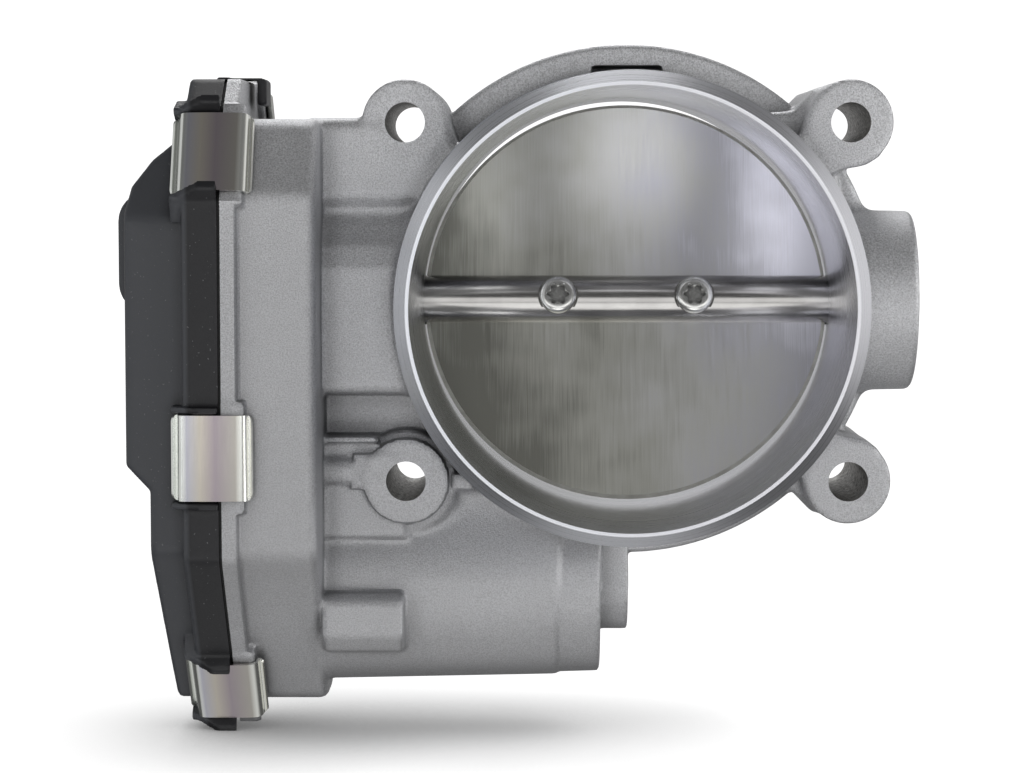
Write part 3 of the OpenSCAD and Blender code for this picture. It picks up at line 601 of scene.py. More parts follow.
def cast_metal():
    """Shot-blasted casting: pale sparkling grains under broad clouding, with painted light up high and
    painted shade low down, darker at the front of the gear case and motor housing, and painted shade in
    creases and recesses."""
    p = Paint("cast_aluminium", (0.74, 0.745, 0.765), 0.85, 0.5)
    grain = p.noise(0.29, detail=2, rough=0.8)
    broad = p.noise(16, detail=3)
    # painted light and shade: the casting is lighter up high and darker low down
    height = p.spread(p.along("Z"), 0.55, 1.12, -75, 25)
    depth = p.spread(p.along("Y"), 0.72, 1.0, -57, -48)
    clouds_and_painted_shade = p.math("MULTIPLY", p.spread(broad, 0.88, 1.0), p.math("MULTIPLY", height, depth))
    grains_and_painted_shade = p.math("MULTIPLY", p.spread(grain, 0.2, 1.0, 0.36, 0.62), clouds_and_painted_shade)
    p.tint(grains_and_painted_shade, (0.45, 0.45, 0.462), (0.975, 0.98, 1.0))
    # painted shade where other surfaces stand near: in creases, and in deep recesses such as the one under
    # the bore's ring
    p.paint_crevice_shade(5, 0.5)
    p.paint_crevice_shade(45, 0.52, 0.02, 0.34)
    p.rough(grain, 0.38, 0.60)
    p.bump(grain, 0.12)
    p.bump(p.noise(4, detail=2), 0.06)
    return p.material


def turned_metal(name, left, right, rough_low, rough_high, depth):
    """Machined aluminium with turning marks about the bore, with painted light and reflection shading it from
    one side of it to the other.
    """
    p = Paint(name, left, 1.0, rough_low)
    marks = p.rings(0.18)
    across = p.spread(p.along("X"), 0.0, 1.0, -42, 42)
    # painted light and reflection: the colour goes from one side of the bore to the other
    p.tint(p.math("ADD", across, p.spread(p.noise(9), -0.12, 0.12)), left, right)
    p.rough(marks, rough_low, rough_high)
    p.bump(marks, depth)
    return p.material


def drilled_metal():
    """Rough wall of a hole, with dark specks."""
    p = Paint("drilled_aluminium", (0.45, 0.44, 0.42), 0.9, 0.4)
    p.tint(p.spread(p.noise(0.7, detail=2), 0, 1, 0.4, 0.6), (0.22, 0.21, 0.20), (0.70, 0.69, 0.67))
    rough = p.noise(0.5)
    p.rough(rough, 0.3, 0.6)
    p.bump(rough, 0.08)
    return p.material


def brushed_metal(name, color, rough_low, rough_high, grain, depth=0.006):
    """Metal with fine strokes; grain squeezes them in each axis."""
    p = Paint(name, color, 1.0, rough_low)
    strokes = p.noise(0.25, detail=3, scale=grain)
    p.tint(p.spread(p.noise(7), 0, 1), 0.88, 1.08)
    p.rough(strokes, rough_low, rough_high)
    p.bump(strokes, depth)
    return p.material


def plate_metal():
    """Sheet brushed up and down, with painted reflection dark olive at one end, pale in the middle and
    lavender at the other, and painted shade below the shaft."""
    p = Paint("plate_aluminium", (0.60, 0.60, 0.62), 1.0, 0.3)
    strokes = p.noise(0.3, detail=2, rough=0.6, scale=(1, 0.025, 0.025))
    cloud = p.noise(15, detail=2)
    # painted reflection of the bore walls from one end to the other, under random clouding, and painted shade
    # below the shaft
    across = p.math("ADD", p.spread(p.along("X"), 0.0, 1.0, -40, 40), p.spread(cloud, -0.14, 0.14))
    height = p.spread(p.along("Z"), -0.17, 0.04, -22, 8)
    place = p.math("ADD", p.math("ADD", across, height), p.spread(strokes, -0.065, 0.065))
    p.ramp(place, [(0.0, (0.28, 0.28, 0.25)), (0.28, (0.56, 0.56, 0.51)), (0.55, (0.70, 0.70, 0.68)),
                   (0.8, (0.68, 0.68, 0.73)), (1.0, (0.92, 0.92, 1.0))])
    p.rough(strokes, 0.30, 0.40)
    p.bump(strokes, 0.0006)
    p.shader.inputs["Anisotropic"].default_value = 0.6
    upright = p.nodes.new("ShaderNodeCombineXYZ")
    upright.inputs["Z"].default_value = 1.0
    p.feed("Tangent", upright.outputs[0])
    return p.material


def screw_metal():
    """Bright screw, with painted shade in its recess."""
    p = Paint("screw_steel", (0.82, 0.82, 0.80), 1.0, 0.2)
    p.tint(p.noise(2.5), 0.96, 1.03)
    # painted shade in the recess
    p.paint_crevice_shade(1.2, 0.25)
    p.rough(p.noise(0.5), 0.16, 0.26)
    p.bump(p.noise(0.35), 0.002)
    return p.material


def clip_metal():
    """Bright rolled strip with painted highlights: pale rolls at its two edges, and cream and mauve bands of
    painted reflection across the web.
    """
    p = Paint("clip_steel", (0.74, 0.72, 0.68), 1.0, 0.2)
    # painted highlights on the two rolls and painted reflections across the web, placed along X
    across = p.spread(p.along("X"), 0.0, 1.0, FLANGE_X - 2.2, JOINT_X + RIM_T + 1.6)
    p.ramp(across, [(0.0, (0.90, 0.92, 0.88)), (0.14, (0.92, 0.94, 0.90)), (0.2, (0.54, 0.54, 0.60)),
                    (0.36, (0.60, 0.56, 0.49)), (0.55, (0.40, 0.35, 0.38)), (0.8, (0.48, 0.46, 0.42)),
                    (0.87, (0.92, 0.93, 0.88)), (1.0, (0.90, 0.90, 0.84))])
    drawn = p.noise(0.3, detail=3, scale=(1, 0.06, 0.06))
    p.rough(drawn, 0.17, 0.26)
    p.bump(drawn, 0.0012)
    return p.material


def cover_finish():
    """Filled black plastic, greyer on the dome than on the flange, with a few faint specks and painted shade
    in its creases and along the joint.
    """
    p = Paint("cover_plastic", (0.05, 0.052, 0.057), 0.0, 0.5)
    dome = p.spread(p.along("X"), 1.0, 0.0, FLANGE_X + 0.6, FLANGE_X + 1.4)
    p.tint(dome, (0.018, 0.018, 0.021), (0.078, 0.082, 0.092))
    specks = p.spread(p.noise(0.42, detail=0), 0, 0.5, 0.80, 0.86)
    p.mix(specks, p.painted(), (0.25, 0.25, 0.26))
    # painted shade in creases and along the joint
    p.paint_crevice_shade(3, 0.4)
    grain = p.noise(0.3, detail=2)
    p.rough(grain, 0.36, 0.50)
    p.bump(grain, 0.018)
    return p.material


def plain_finish(name, color, metallic, rough_low, rough_high, size=0.6, depth=0.01):
    """A finish with a fine grain and faint clouding."""
    p = Paint(name, color, metallic, rough_low)
    grain = p.noise(size, detail=3)
    p.tint(p.spread(p.noise(size * 8), 0, 1), 0.82, 1.12)
    p.rough(grain, rough_low, rough_high)
    p.bump(grain, depth)
    return p.material


CAST = cast_metal()
# left and right colours are painted light: the spigot a little paler at the left, the bore wall dark at the
# left and bright lavender at the right
TURNED = turned_metal("turned_aluminium", (0.86, 0.88, 0.93), (0.84, 0.84, 0.88), 0.24, 0.42, 0.012)
BORED = turned_metal("bored_aluminium", (0.66, 0.67, 0.68), (0.94, 0.94, 1.0), 0.20, 0.32, 0.004)
DRILLED = drilled_metal()
PLATE = plate_metal()
SHAFT = brushed_metal("shaft_steel", (0.54, 0.53, 0.515), 0.14, 0.24, grain=(0.05, 1, 1), depth=0.002)
SCREW = screw_metal()
CLIP = clip_metal()
SHELL = cover_finish()
# painted highlight: the plate's edge is pale cream and nearly plain
EDGE = plain_finish("plate_edge", (0.92, 0.90, 0.82), 0.1, 0.40, 0.55, size=0.4)
# slot, colour, least and most roughness, squeeze of the strokes
BRUSHED = [
    ("bearing_steel", (0.72, 0.72, 0.74), 0.10, 0.20, (0.1, 1, 1)),
    ("pinion_brass", (0.80, 0.62, 0.30), 0.2, 0.35, (0.1, 1, 1)),
    ("motor_steel", (0.62, 0.62, 0.63), 0.22, 0.38, (0.08, 1, 1)),
    ("copper", (0.72, 0.36, 0.20), 0.25, 0.4, (1, 0.3, 0.3)),
    ("spring_steel", (0.45, 0.45, 0.47), 0.2, 0.35, (1, 0.4, 0.4)),
    ("terminal_brass", (0.78, 0.64, 0.36), 0.2, 0.34, (0.2, 1, 1)),
]
# slot, colour, metallic, least and most roughness, then size and depth of the grain where they differ
PLAIN = [
    ("seal_rubber", (0.03, 0.028, 0.026), 0.0, 0.5, 0.7),
    ("gasket_rubber", (0.02, 0.02, 0.02), 0.0, 0.5, 0.7),
    ("dark_gear_plastic", (0.05, 0.05, 0.055), 0.0, 0.35, 0.5, 0.4),
    ("pale_gear_plastic", (0.72, 0.68, 0.58), 0.0, 0.35, 0.5, 0.4),
    ("bush_bronze", (0.58, 0.38, 0.20), 0.9, 0.35, 0.55, 0.3, 0.02),
    ("magnet", (0.06, 0.06, 0.065), 0.2, 0.45, 0.6),
    ("carbon", (0.035, 0.035, 0.035), 0.0, 0.55, 0.75),
    ("board", (0.02, 0.12, 0.06), 0.0, 0.35, 0.5, 1.2),
    ("chip", (0.02, 0.02, 0.022), 0.0, 0.4, 0.55),
]
SLOTS = {"cast_aluminium": CAST, "plate_aluminium": PLATE, "shaft_steel": SHAFT, "screw_steel": SCREW,
         "clip_steel": CLIP, "cover_plastic": SHELL}
SLOTS |= {row[0]: brushed_metal(*row) for row in BRUSHED}
SLOTS |= {row[0]: plain_finish(*row) for row in PLAIN}


# ---- Casting ----

def casting_field():
    """The casting, standing over by a little where it is faced off afterwards."""
    f = Field((JOINT_X - 4, LIP_Y - 3, HOUSING_LOW[2] - 4), (FAR_END_X + 3, 5, FLANGE_R + 3), GRID_STEP)
    over = 2
    # bore tube, flange, far shaft boss
    f.add(rod(1, LIP_Y - 1, over, CAST_R, edge=0.3))
    f.add(rod(1, -FLANGE_T, over, FLANGE_R, edge=1.2), blend=2.5)
    f.add(rod(0, 38, FAR_END_X, SHAFT_BOSS_R + 0.1, (SHAFT_Y, 0), edge=1.0, end_r=SHAFT_BOSS_R - 0.3),
          blend=2.0)
    # bolt bosses and, on the far side, their tongues towards the bore with a step behind
    for z in (-1, 1):
        tongue = [(30, 22), (38, 24.6), (43.5, 26.7), (47.6, 27.6), (51.2, 30), (46, 36), (39.1, 43.0),
                  (36.4, 39.3), (34.4, 33.6), (31, 30)]
        step = [(28, 20), (43.5, 20), (42.5, 27), (44.5, 33), (43, 43.8), (37.7, 42.8), (33.4, 38.4),
                (27, 38)]
        f.add(prism(1, -38.5, over, mirrored(step, z), edge=1.5, corner=2), blend=0.8)
        f.add(prism(1, BOSS_Y, -30, mirrored(tongue, z), edge=0.8, corner=1.5), blend=1.2)
        f.add(rod(1, BOSS_Y, over, BOSS_R, (BOLT[0], z * BOLT[1]), edge=0.7), blend=0.8)
    upper_left(f)
    gear_side_boss(f)
    lower_left(f)
    motor_housing(f)
    gear_case(f)
    # locating notch in the flange
    f.cut(box((-7, -FLANGE_T - 3, 44.0), (7.3, -FLANGE_T + 9, 47.7), edge=0.7), blend=0.3)
    return f


def upper_left(f):
    """Plate web and bolt boss between the gear case and the bore, above the shaft boss."""
    web = [(WALL_X - 2, 20.3), (-30, 20.3), (-34, 32), (-36.8, 40.5), (-44, 36.8), (WALL_X - 2, 36.6)]
    f.add(prism(1, BOSS_Y, -24, web, edge=2.2), blend=1.0)
    top = [(WALL_X - 2, 30), (-36, 30), (-38, 36.2), (WALL_X - 2, 36.2)]
    f.add(prism(1, BOSS_Y + 3, -3, top, edge=1.4), blend=1.5)
    f.add(rod(1, BOSS_Y, 2, BOSS_R, (-BOLT[0], BOLT[1]), edge=0.7), blend=0.9)
    # back of the recess below the web
    f.add(box((WALL_X - 2, -41.6, 4), (-40, -3, 34), edge=0.5), blend=4.5)


def gear_side_boss(f):
    """Boss around the shaft between the gear case and the bore, with a shelf below it."""
    front = [(-47.6, -18.4), (-47.6, 7), (-46.4, 11.5), (-43.6, 15.6), (-39.5, 19), (-35, 21), (-20, 21),
             (-18, 0), (-20, -18.4)]
    f.add(prism(0, WALL_X - 2, -36, front[::-1], edge=0.8, corner=2.4), blend=3.0)
    f.add(box((WALL_X - 2, -37.8, -34), (-40, -3, -15), edge=0.5), blend=1.5)


def lower_left(f):
    """Bolt boss with its arm, ledges and webs, between the gear case and the bore, below the shaft boss."""
    at = (-BOLT[0], -BOLT[1])
    f.add(prism(1, -42.9, -3, rectangle(WALL_X - 2, -44.6, -47.5, -28.5), edge=0.8), blend=1.0)
    behind = [(-46, -52), (-16, -50), (-18, -38), (-38, -20), (-46, -20)]
    f.add(prism(1, -34, -3, behind, edge=1.0), blend=2.0)
    f.cut(prism(1, -46, -41.2, rectangle(WALL_X + 0.6, -55.2, -37.2, -30.9), edge=0.5), blend=0.6)
    f.add(rod(1, -41.6, 0, 10.1, at, edge=0.8), blend=0.8)
    f.add(rod(1, BOSS_Y, 2, BOSS_R, at, edge=0.6), blend=0.5)
    arm = [(-55.6, -37.5), (-46, -37.5), (-46, -30.6), (-55.0, -30.6)]
    f.add(prism(1, BOSS_Y, -36, arm, edge=0.6), blend=1.2)
    f.add(rod(0, WALL_X - 2, -55.2, 3.7, (BOSS_Y + 3.4, -34.0), edge=1.2), blend=0.7)
    f.add(box((WALL_X - 1, BOSS_Y + 0.1, -28.4), (-50.0, -34, -27.0), edge=0.7), blend=0.8)
    f.add(box((-35.4, -42.5, -37.9), (-30.8, -30, -34.6), edge=0.8), blend=0.8)
    # small notch under the boss
    f.cut(box((-44.9, -45, -47.4), (-44.3, -42.2, -45), edge=0.2), blend=0.2)


def motor_housing(f):
    """Stepped barrel round the motor, squared off at the back, with a nose boss and two screw bosses."""
    at = (MOTOR_Y, MOTOR_Z)
    step_x, end_x, nose_x = -13.9, -5.2, 0.6
    f.add(rod(0, WALL_X - 2, step_x, MOTOR_WALL_R + 0.1, at, edge=0.5, end_r=18.7), blend=1.6)
    near_back = [(-41.6, -56), (-8, -62), (-8, -36), (-38.2, -36)]
    f.add(prism(0, WALL_X - 2, step_x, near_back, edge=0.6), blend=4.0)
    f.add(rod(0, step_x - 3, end_x, 18.35, at, edge=0.7, end_r=18.0), blend=0.25)
    far_back = [(-41.0, -56), (-8, -62), (-8, -36), (-37.6, -36)]
    f.add(prism(0, step_x - 3, end_x, far_back, edge=0.6), blend=1.0)
    # nose boss: round below, flat front carried up to the flange
    f.add(rod(0, end_x - 3, nose_x, 9.3, at, edge=0.5), blend=0.3)
    f.add(box((end_x - 3, MOTOR_Y - 9.2, MOTOR_Z), (nose_x, MOTOR_Y + 9.2, -40), edge=0.5), blend=0.3)
    # boss of the front motor screw, and of the rear one
    pad = [(-49.4, -58.4), (-49.2, -67), (-46.0, -70.4), (-30, -72), (-30, -58.0)]
    f.add(prism(0, WALL_X - 0.1, -44.8, pad, edge=1.1, corner=2.8), blend=1.2)
    f.add(rod(0, WALL_X - 2, -52, 4.4, (MOTOR_Y + 14.3, MOTOR_Z + 12.8), edge=0.7), blend=1.0)


def gear_case(f):
    """Walls and rim of the gear case, and the hollows that the gears, the spring and the motor sit in."""
    # rim flange, thicker beside each clip
    f.add(prism(0, JOINT_X - 2, JOINT_X + RIM_T - 1.3, softened(RIM, 3), edge=0.5))
    for edge, along in CLIP_EDGES:
        half = CLIP_LENGTH / 2 + 2.6
        f.add(rim_box(edge, along, (JOINT_X - 2, -half, -4), (JOINT_X + RIM_T, half, 0.3), 0.4), blend=0.2)
    # body, with a soft fillet where the rim stands on it
    f.add(prism(0, JOINT_X - 2, WALL_X, softened(BODY, 6), edge=2.0), blend=0.9)
    # cavity, spring pocket and motor pocket
    f.cut(prism(0, JOINT_X - 6, FLOOR_X, softened(grown(BODY, -WALL_T), 5), edge=0.8))
    f.cut(rod(0, FLOOR_X - 2, -50.5, 14.6, (SHAFT_Y, 0), edge=0.4))
    f.add(rod(0, FLOOR_X, -49, 8.6, (SHAFT_Y, 0), edge=0.3))
    f.cut(rod(0, FLOOR_X - 2, MOTOR_END_X + 1.4, MOTOR_R + 0.5, (MOTOR_Y, MOTOR_Z), edge=0.3))
    f.cut(rod(0, MOTOR_END_X, MOTOR_END_X + 6, 6.9, (MOTOR_Y, MOTOR_Z), edge=0.3))


def casting():
    """The cast housing with its machined faces, bore, spigot and holes."""
    piece = new_object("casting", casting_field().mesh("casting"))
    piece.data.materials.append(CAST)
    outside = [(SPIGOT_R, SPIGOT_END_Y), (SPIGOT_R, LIP_Y + LIP_CHAMFER), (LIP_FACE_R[1], LIP_Y),
               (LIP_FACE_R[1] - 6, LIP_Y), (LIP_FACE_R[1] - 6, LIP_Y - 4), (52, LIP_Y - 4),
               (52, SPIGOT_END_Y - 1.4), (CAST_R + 0.6, SPIGOT_END_Y - 0.6)]
    machine(piece, turned("turning", outside), TURNED)
    inside = [(0, LIP_Y - 2), (LIP_FACE_R[0], LIP_Y - 2), (LIP_FACE_R[0], LIP_Y),
              (BORE_R + 0.25, LIP_Y + 6.1), (BORE_R, LIP_Y + 12), (BORE_R, 4), (0, 4)]
    machine(piece, turned("boring", inside), BORED)
    machine(piece, plain_box("facing", (-75, 0, -100), (75, 8, 70)), TURNED)
    machine(piece, plain_box("joint_facing", (-95, -90, -100), (JOINT_X, 20, 70)), TURNED)
    drill = [(0, -60), (BOLT_R, -60), (BOLT_R, 3), (0, 3)]
    for x in (-1, 1):
        for z in (-1, 1):
            at = (x * BOLT[0], z * BOLT[1])
            machine(piece, turned("drilling", drill, at=at, steps=64), DRILLED)
    # needle bearing, seal, shaft, seal, ball bearing and plug, from the gear case to the far end
    shaft_line = [(0, -70), (NEEDLE_SEAT_R, -70), (NEEDLE_SEAT_R, -49), (SHAFT_R + 0.8, -49),
                  (SHAFT_R + 0.8, -47.6), (SEAL_SEAT_R, -47.6), (SEAL_SEAT_R, -44.1), (SHAFT_R + 0.05, -44.1),
                  (SHAFT_R + 0.05, 42.6), (SEAL_SEAT_R, 42.6), (SEAL_SEAT_R, 46.1), (7.0, 46.1), (7.0, 47.2),
                  (BALL_SEAT_R, 47.2), (BALL_SEAT_R, 54.2), (PLUG_SEAT_R, 54.2), (PLUG_SEAT_R, 60), (0, 60)]
    machine(piece, turned("shaft_boring", shaft_line, axis="X", at=(SHAFT_Y, 0), steps=96), DRILLED)
    smooth(piece, 28)
    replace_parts(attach(piece, "body"), "housing")


# ---- Cover ----

def both(one, other, r):
    """What lies inside both of two shapes, with the edge between them rounded by r."""
    low, high = np.maximum(one[0], other[0]), np.minimum(one[1], other[1])
    return low, high, lambda *xyz: meet(one[2](*xyz), other[2](*xyz), r)


def dome_shape(extra, lift, edge):
    """The raised part of the cover, drawn in by extra and lowered by lift."""
    p = grown(RIM, -DOME_INSET - extra)
    top = DOME_TOP - extra
    outline = np.array([[p[0][0], 17], p[1], p[2], p[3], p[4], [p[5][0], 22], [-9, top], [-50, top]])
    high, low = DOME_HIGH_X + lift, DOME_LOW_X + lift
    side = [(COVER_JOINT_X, -100), (low + 2.6, -100), (low + 1.2, -76), (low, -50),
            (low, -36.5 + extra * 0.4), (high, -31.5 + extra * 0.4), (high, 18 - extra),
            (high + 1.2, 23.2 - extra), (high + 5, 28.4 - extra), (FLANGE_X, 34 - extra), (COVER_JOINT_X, 40)]
    return both(prism(0, high - 1, COVER_JOINT_X, softened(outline, 5), edge=0),
                prism(1, RIM[0][0], RIM[4][0] + 1, side[::-1], edge=0, corner=1.2), edge)


def cover_field():
    """The cover's flange, dome, ribs, hook and connector, hollowed from the joint."""
    f = Field(COVER_LOW - 2, COVER_HIGH + 2, COVER_GRID_STEP)
    f.add(prism(0, FLANGE_X, COVER_JOINT_X + 1.5, softened(RIM, 3), edge=0.9))
    f.add(dome_shape(0, 0, 1.0), blend=0.8)
    for edge, along in CLIP_EDGES:
        for side in (-1, 1):
            guide_rib(f, RimSpot(edge, along, side * (CLIP_LENGTH / 2 + 1)), side)
    # hook over the top of the rim
    top = RIM[6][1]
    f.add(box((FLANGE_X + 3.8, -32, top - 3), (COVER_JOINT_X, -22, top + 0.8), 0.5), blend=0.5)
    f.add(box((COVER_JOINT_X - 1, -32, top + 0.2), (JOINT_X + RIM_T + 1.4, -22, top + 0.7), 0.2))
    f.add(box((JOINT_X + RIM_T + 0.1, -32, top - 5), (JOINT_X + RIM_T + 2.1, -22, top + 0.4), 0.7))
    # hollow, with a post for the intermediate pin and pockets for the motor's terminals
    f.cut(dome_shape(COVER_WALL, COVER_WALL, 0.6))
    f.cut(prism(0, FLANGE_X + 1.4, COVER_JOINT_X + 3, softened(grown(RIM, -5.4), 2.5), edge=0.3))
    f.add(both(dome_shape(0.3, 0.3, 0.6), rod(0, DOME_HIGH_X, -87, 4, (IDLER_Y, IDLER_Z)), 0.2))
    f.cut(rod(0, -90.1, JOINT_X, IDLER_PIN_R + 0.05, (IDLER_Y, IDLER_Z), edge=0))
    for side in (-1, 1):
        y = MOTOR_Y + side * 10
        f.add(box((DOME_LOW_X + 0.5, y - 3.4, MOTOR_Z - 1.8), (-81.4, y + 3.4, MOTOR_Z + 1.8), 0.3))
        f.cut(box((-86, y - 2.1, MOTOR_Z - 0.5), (-80, y + 2.1, MOTOR_Z + 0.5), 0.05))
    connector(f)
    # rib on the dome
    rib = [(DOME_HIGH_X - 0.75, 11.8), (DOME_HIGH_X - 0.75, 14), (DOME_HIGH_X + 2.4, 25.8),
           (DOME_HIGH_X + 5, 25.8), (DOME_HIGH_X + 4, 11.8)]
    f.add(prism(1, -46, -28, rib, edge=0.4), blend=0.3)
    return f


def guide_rib(f, spot, side):
    """A wedge-shaped rib beside a clip, low at the dome and full height at the joint. On the corner edges it
    leans with the sweep of the cover and stands on a small gusset."""
    out_y, out_z = spot.out
    corner_edge = out_y < -0.6 and abs(out_z) > 0.2
    proud = 1.2 if out_y > 0.6 else 2.6
    half = 0.9 if corner_edge else 0.65
    lean = 0.55 * np.sign(spot.run[1]) * np.sign(out_z) if corner_edge else 0
    low_x, high_x = FLANGE_X - 2.3, COVER_JOINT_X
    wedge = np.array([(low_x, -3.8), (high_x, -3.8), (high_x, proud), (high_x - 3.6, proud), (low_x, -0.4)])
    low, high = spot.span((low_x, high_x), (-4, 4), (-3.8, proud))

    def distance(x, y, z):
        s, t = spot.measure(y, z)
        leaning = s - lean * np.maximum(t, 0)
        return meet(outline_distance(wedge, x + 0 * t, t + 0 * x), np.abs(leaning) - half, 0.22)
    f.add((low, high, distance), blend=0.25)
    if corner_edge:
        gusset = np.array([(0, -3.8), (4.2, -3.8), (0, 0.9)])

        def foot(x, y, z):
            s, t = spot.measure(y, z)
            shape = outline_distance(gusset, s * side + 0 * x, t + 0 * x)
            return meet(shape, np.abs(x - low_x - 1.2) - 1.2, 0.25)
        f.add((low - (0.1, 0, 0), high, foot), blend=0.3)


def connector(f):
    """Shroud of the connector with its key and the floor that the terminals come through."""
    x, z = CONN
    half_x, half_z = CONN_HALF
    shroud = rectangle(x - half_x, x + half_x, z - half_z, z + half_z)
    opening = grown(shroud, -CONN_WALL)
    f.add(prism(1, CONN_Y[0], CONN_Y[1], shroud, edge=0.5, corner=6), blend=0.6)
    f.add(box((x - half_x - 1.2, -13, z - 3), (x, -3, z + 2.4), 0.4), blend=0.3)
    f.cut(prism(1, -14.5, CONN_Y[1] + 3, opening, edge=0.2, corner=4.4))
    f.cut(prism(1, CONN_Y[0] + 1.4, -16.1, opening, edge=0.2, corner=4.4))
    f.cut(box((FLANGE_X - 9.5, CONN_Y[0] - 1, z - 8.5), (FLANGE_X + 2.6, -16.5, z + 8.5), 0.3))


def cover_shell():
    """The plastic cover, faced off at the joint below its hook."""
    piece = new_object("cover_shell", cover_field().mesh("cover_shell", 0.02))
    piece.data.materials.append(SHELL)
    below_hook = COVER_HIGH[2] - 1.05
    facing = plain_box("cover_facing", (COVER_JOINT_X, -90, -100), (COVER_JOINT_X + 3, 20, below_hook))
    machine(piece, facing, SHELL)
    smooth(piece, 35)
    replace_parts(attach(piece, "body"), "cover")


# ---- Spring clips ----

def clip_strip():
    """Middle line of a clip across its width: X, and distance out from the rim, from the dome to the case."""
    cover_x, case_x = FLANGE_X, JOINT_X + RIM_T
    return [(cover_x - 2.2, -1.5), (cover_x - 1.75, -2.0), (cover_x - 1.2, -2.1), (cover_x - 0.85, -1.6),
            (cover_x - 0.75, -0.9), (cover_x - 0.6, -0.1), (cover_x - 0.2, 0.42), (cover_x + 0.5, 0.66),
            (cover_x + 3, 0.74), (-82, 0.78), (case_x - 3.5, 0.74), (case_x - 1.3, 0.66), (case_x - 0.4, 0.5),
            (case_x + 0.25, 0.1), (case_x + 0.5, -0.4), (case_x + 0.75, -0.75), (case_x + 1.2, -0.85),
            (case_x + 1.6, -0.6)]


def smooth_line(points, steps=4):
    """A Catmull-Rom curve through points."""
    p = np.array([2 * np.array(points[0]) - points[1], *points, 2 * np.array(points[-1]) - points[-2]])
    out = []
    for a, b, c, d in zip(p, p[1:], p[2:], p[3:]):
        for i in range(steps):
            t = i / steps
            out.append(0.5 * (2 * b + (c - a) * t + (2 * a - 5 * b + 4 * c - d) * t * t
                              + (3 * b - a - 3 * c + d) * t ** 3))
    return np.array(out + [p[-2]])


def clips():
    """The spring clips: for each, an inner and an outer sheet of points, joined round their edges."""
    line = smooth_line(clip_strip())
    travel = np.concatenate([[0], np.cumsum(np.linalg.norm(np.diff(line, axis=0), axis=1))])
    bm = bmesh.new()
    columns = CLIP_COLUMNS
    for edge, along in CLIP_EDGES:
        spot = RimSpot(edge, along)
        sheets = []
        for level in (-0.5, 0.5):
            grid = []
            for i, (x, t) in enumerate(line):
                a, b = line[max(i - 1, 0)], line[min(i + 1, len(line) - 1)]
                ahead = (b - a) / np.linalg.norm(b - a)
                px, pt = np.array([x, t]) + level * CLIP_T * np.array([-ahead[1], ahead[0]])
                near = min(travel[i], travel[-1] - travel[i], CLIP_CORNER)
                rounding = CLIP_CORNER - math.sqrt(CLIP_CORNER ** 2 - (CLIP_CORNER - near) ** 2)
                reach = CLIP_LENGTH / 2 - rounding
                row = []
                for j in range(columns + 1):
                    s = reach * (2 * j / columns - 1)
                    y, z = spot.at + spot.out * pt + spot.run * s
                    row.append(bm.verts.new((px * MM, y * MM, z * MM)))
                grid.append(row)
            sheets.append(grid)
        for grid, flip in zip(sheets, (True, False)):
            for r0, r1 in zip(grid, grid[1:]):
                for j in range(columns):
                    quad = (r0[j], r0[j + 1], r1[j + 1], r1[j])
                    bm.faces.new(quad[::-1] if flip else quad)
        rims = []
        for grid in sheets:
            first, last = grid[0], grid[-1]
            sides = [row[columns] for row in grid[:-1]], [row[0] for row in grid[:0:-1]]
            rims.append(first[:columns] + sides[0] + last[:0:-1] + sides[1])
        for k in range(len(rims[0])):
            n = (k + 1) % len(rims[0])
            bm.faces.new((rims[0][k], rims[1][k], rims[1][n], rims[0][n]))
    bmesh.ops.recalc_face_normals(bm, faces=bm.faces)
    piece = object_from("clips", bm)
    piece.data.materials.append(CLIP)
    smooth(piece, 50)
    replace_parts(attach(piece, "body"), "spring_clips")


# ---- Turning parts ----

def plate():
    """The CAD's plate with its edge broken and painted paler as a highlight."""
    piece = new_object("plate", frame["nodes"]["throttle_plate"].data.copy())
    bm = bmesh.new()
    bm.from_mesh(piece.data)
    bmesh.ops.remove_doubles(bm, verts=bm.verts, dist=1e-6)
    bmesh.ops.dissolve_limit(bm, angle_limit=math.radians(0.6), verts=bm.verts, edges=bm.edges)
    bm.to_mesh(piece.data)
    bm.free()
    piece.data.materials.clear()
    piece.data.materials.append(PLATE)
    bevel = piece.modifiers.new("soft", "BEVEL")
    bevel.width, bevel.segments, bevel.limit_method = PLATE_EDGE * MM, 1, "ANGLE"
    bevel.angle_limit = math.radians(50)
    bake_modifiers(piece)
    smooth(piece, 40)
    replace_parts(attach(piece, "throttle"), "throttle_plate")
    piece.data.materials.append(EDGE)
    facing = Vector((0, math.cos(REST_TILT), -math.sin(REST_TILT)))
    for face in piece.data.polygons:
        if 0.12 < abs(face.normal.dot(facing)) < 0.95:
            face.material_index = 1


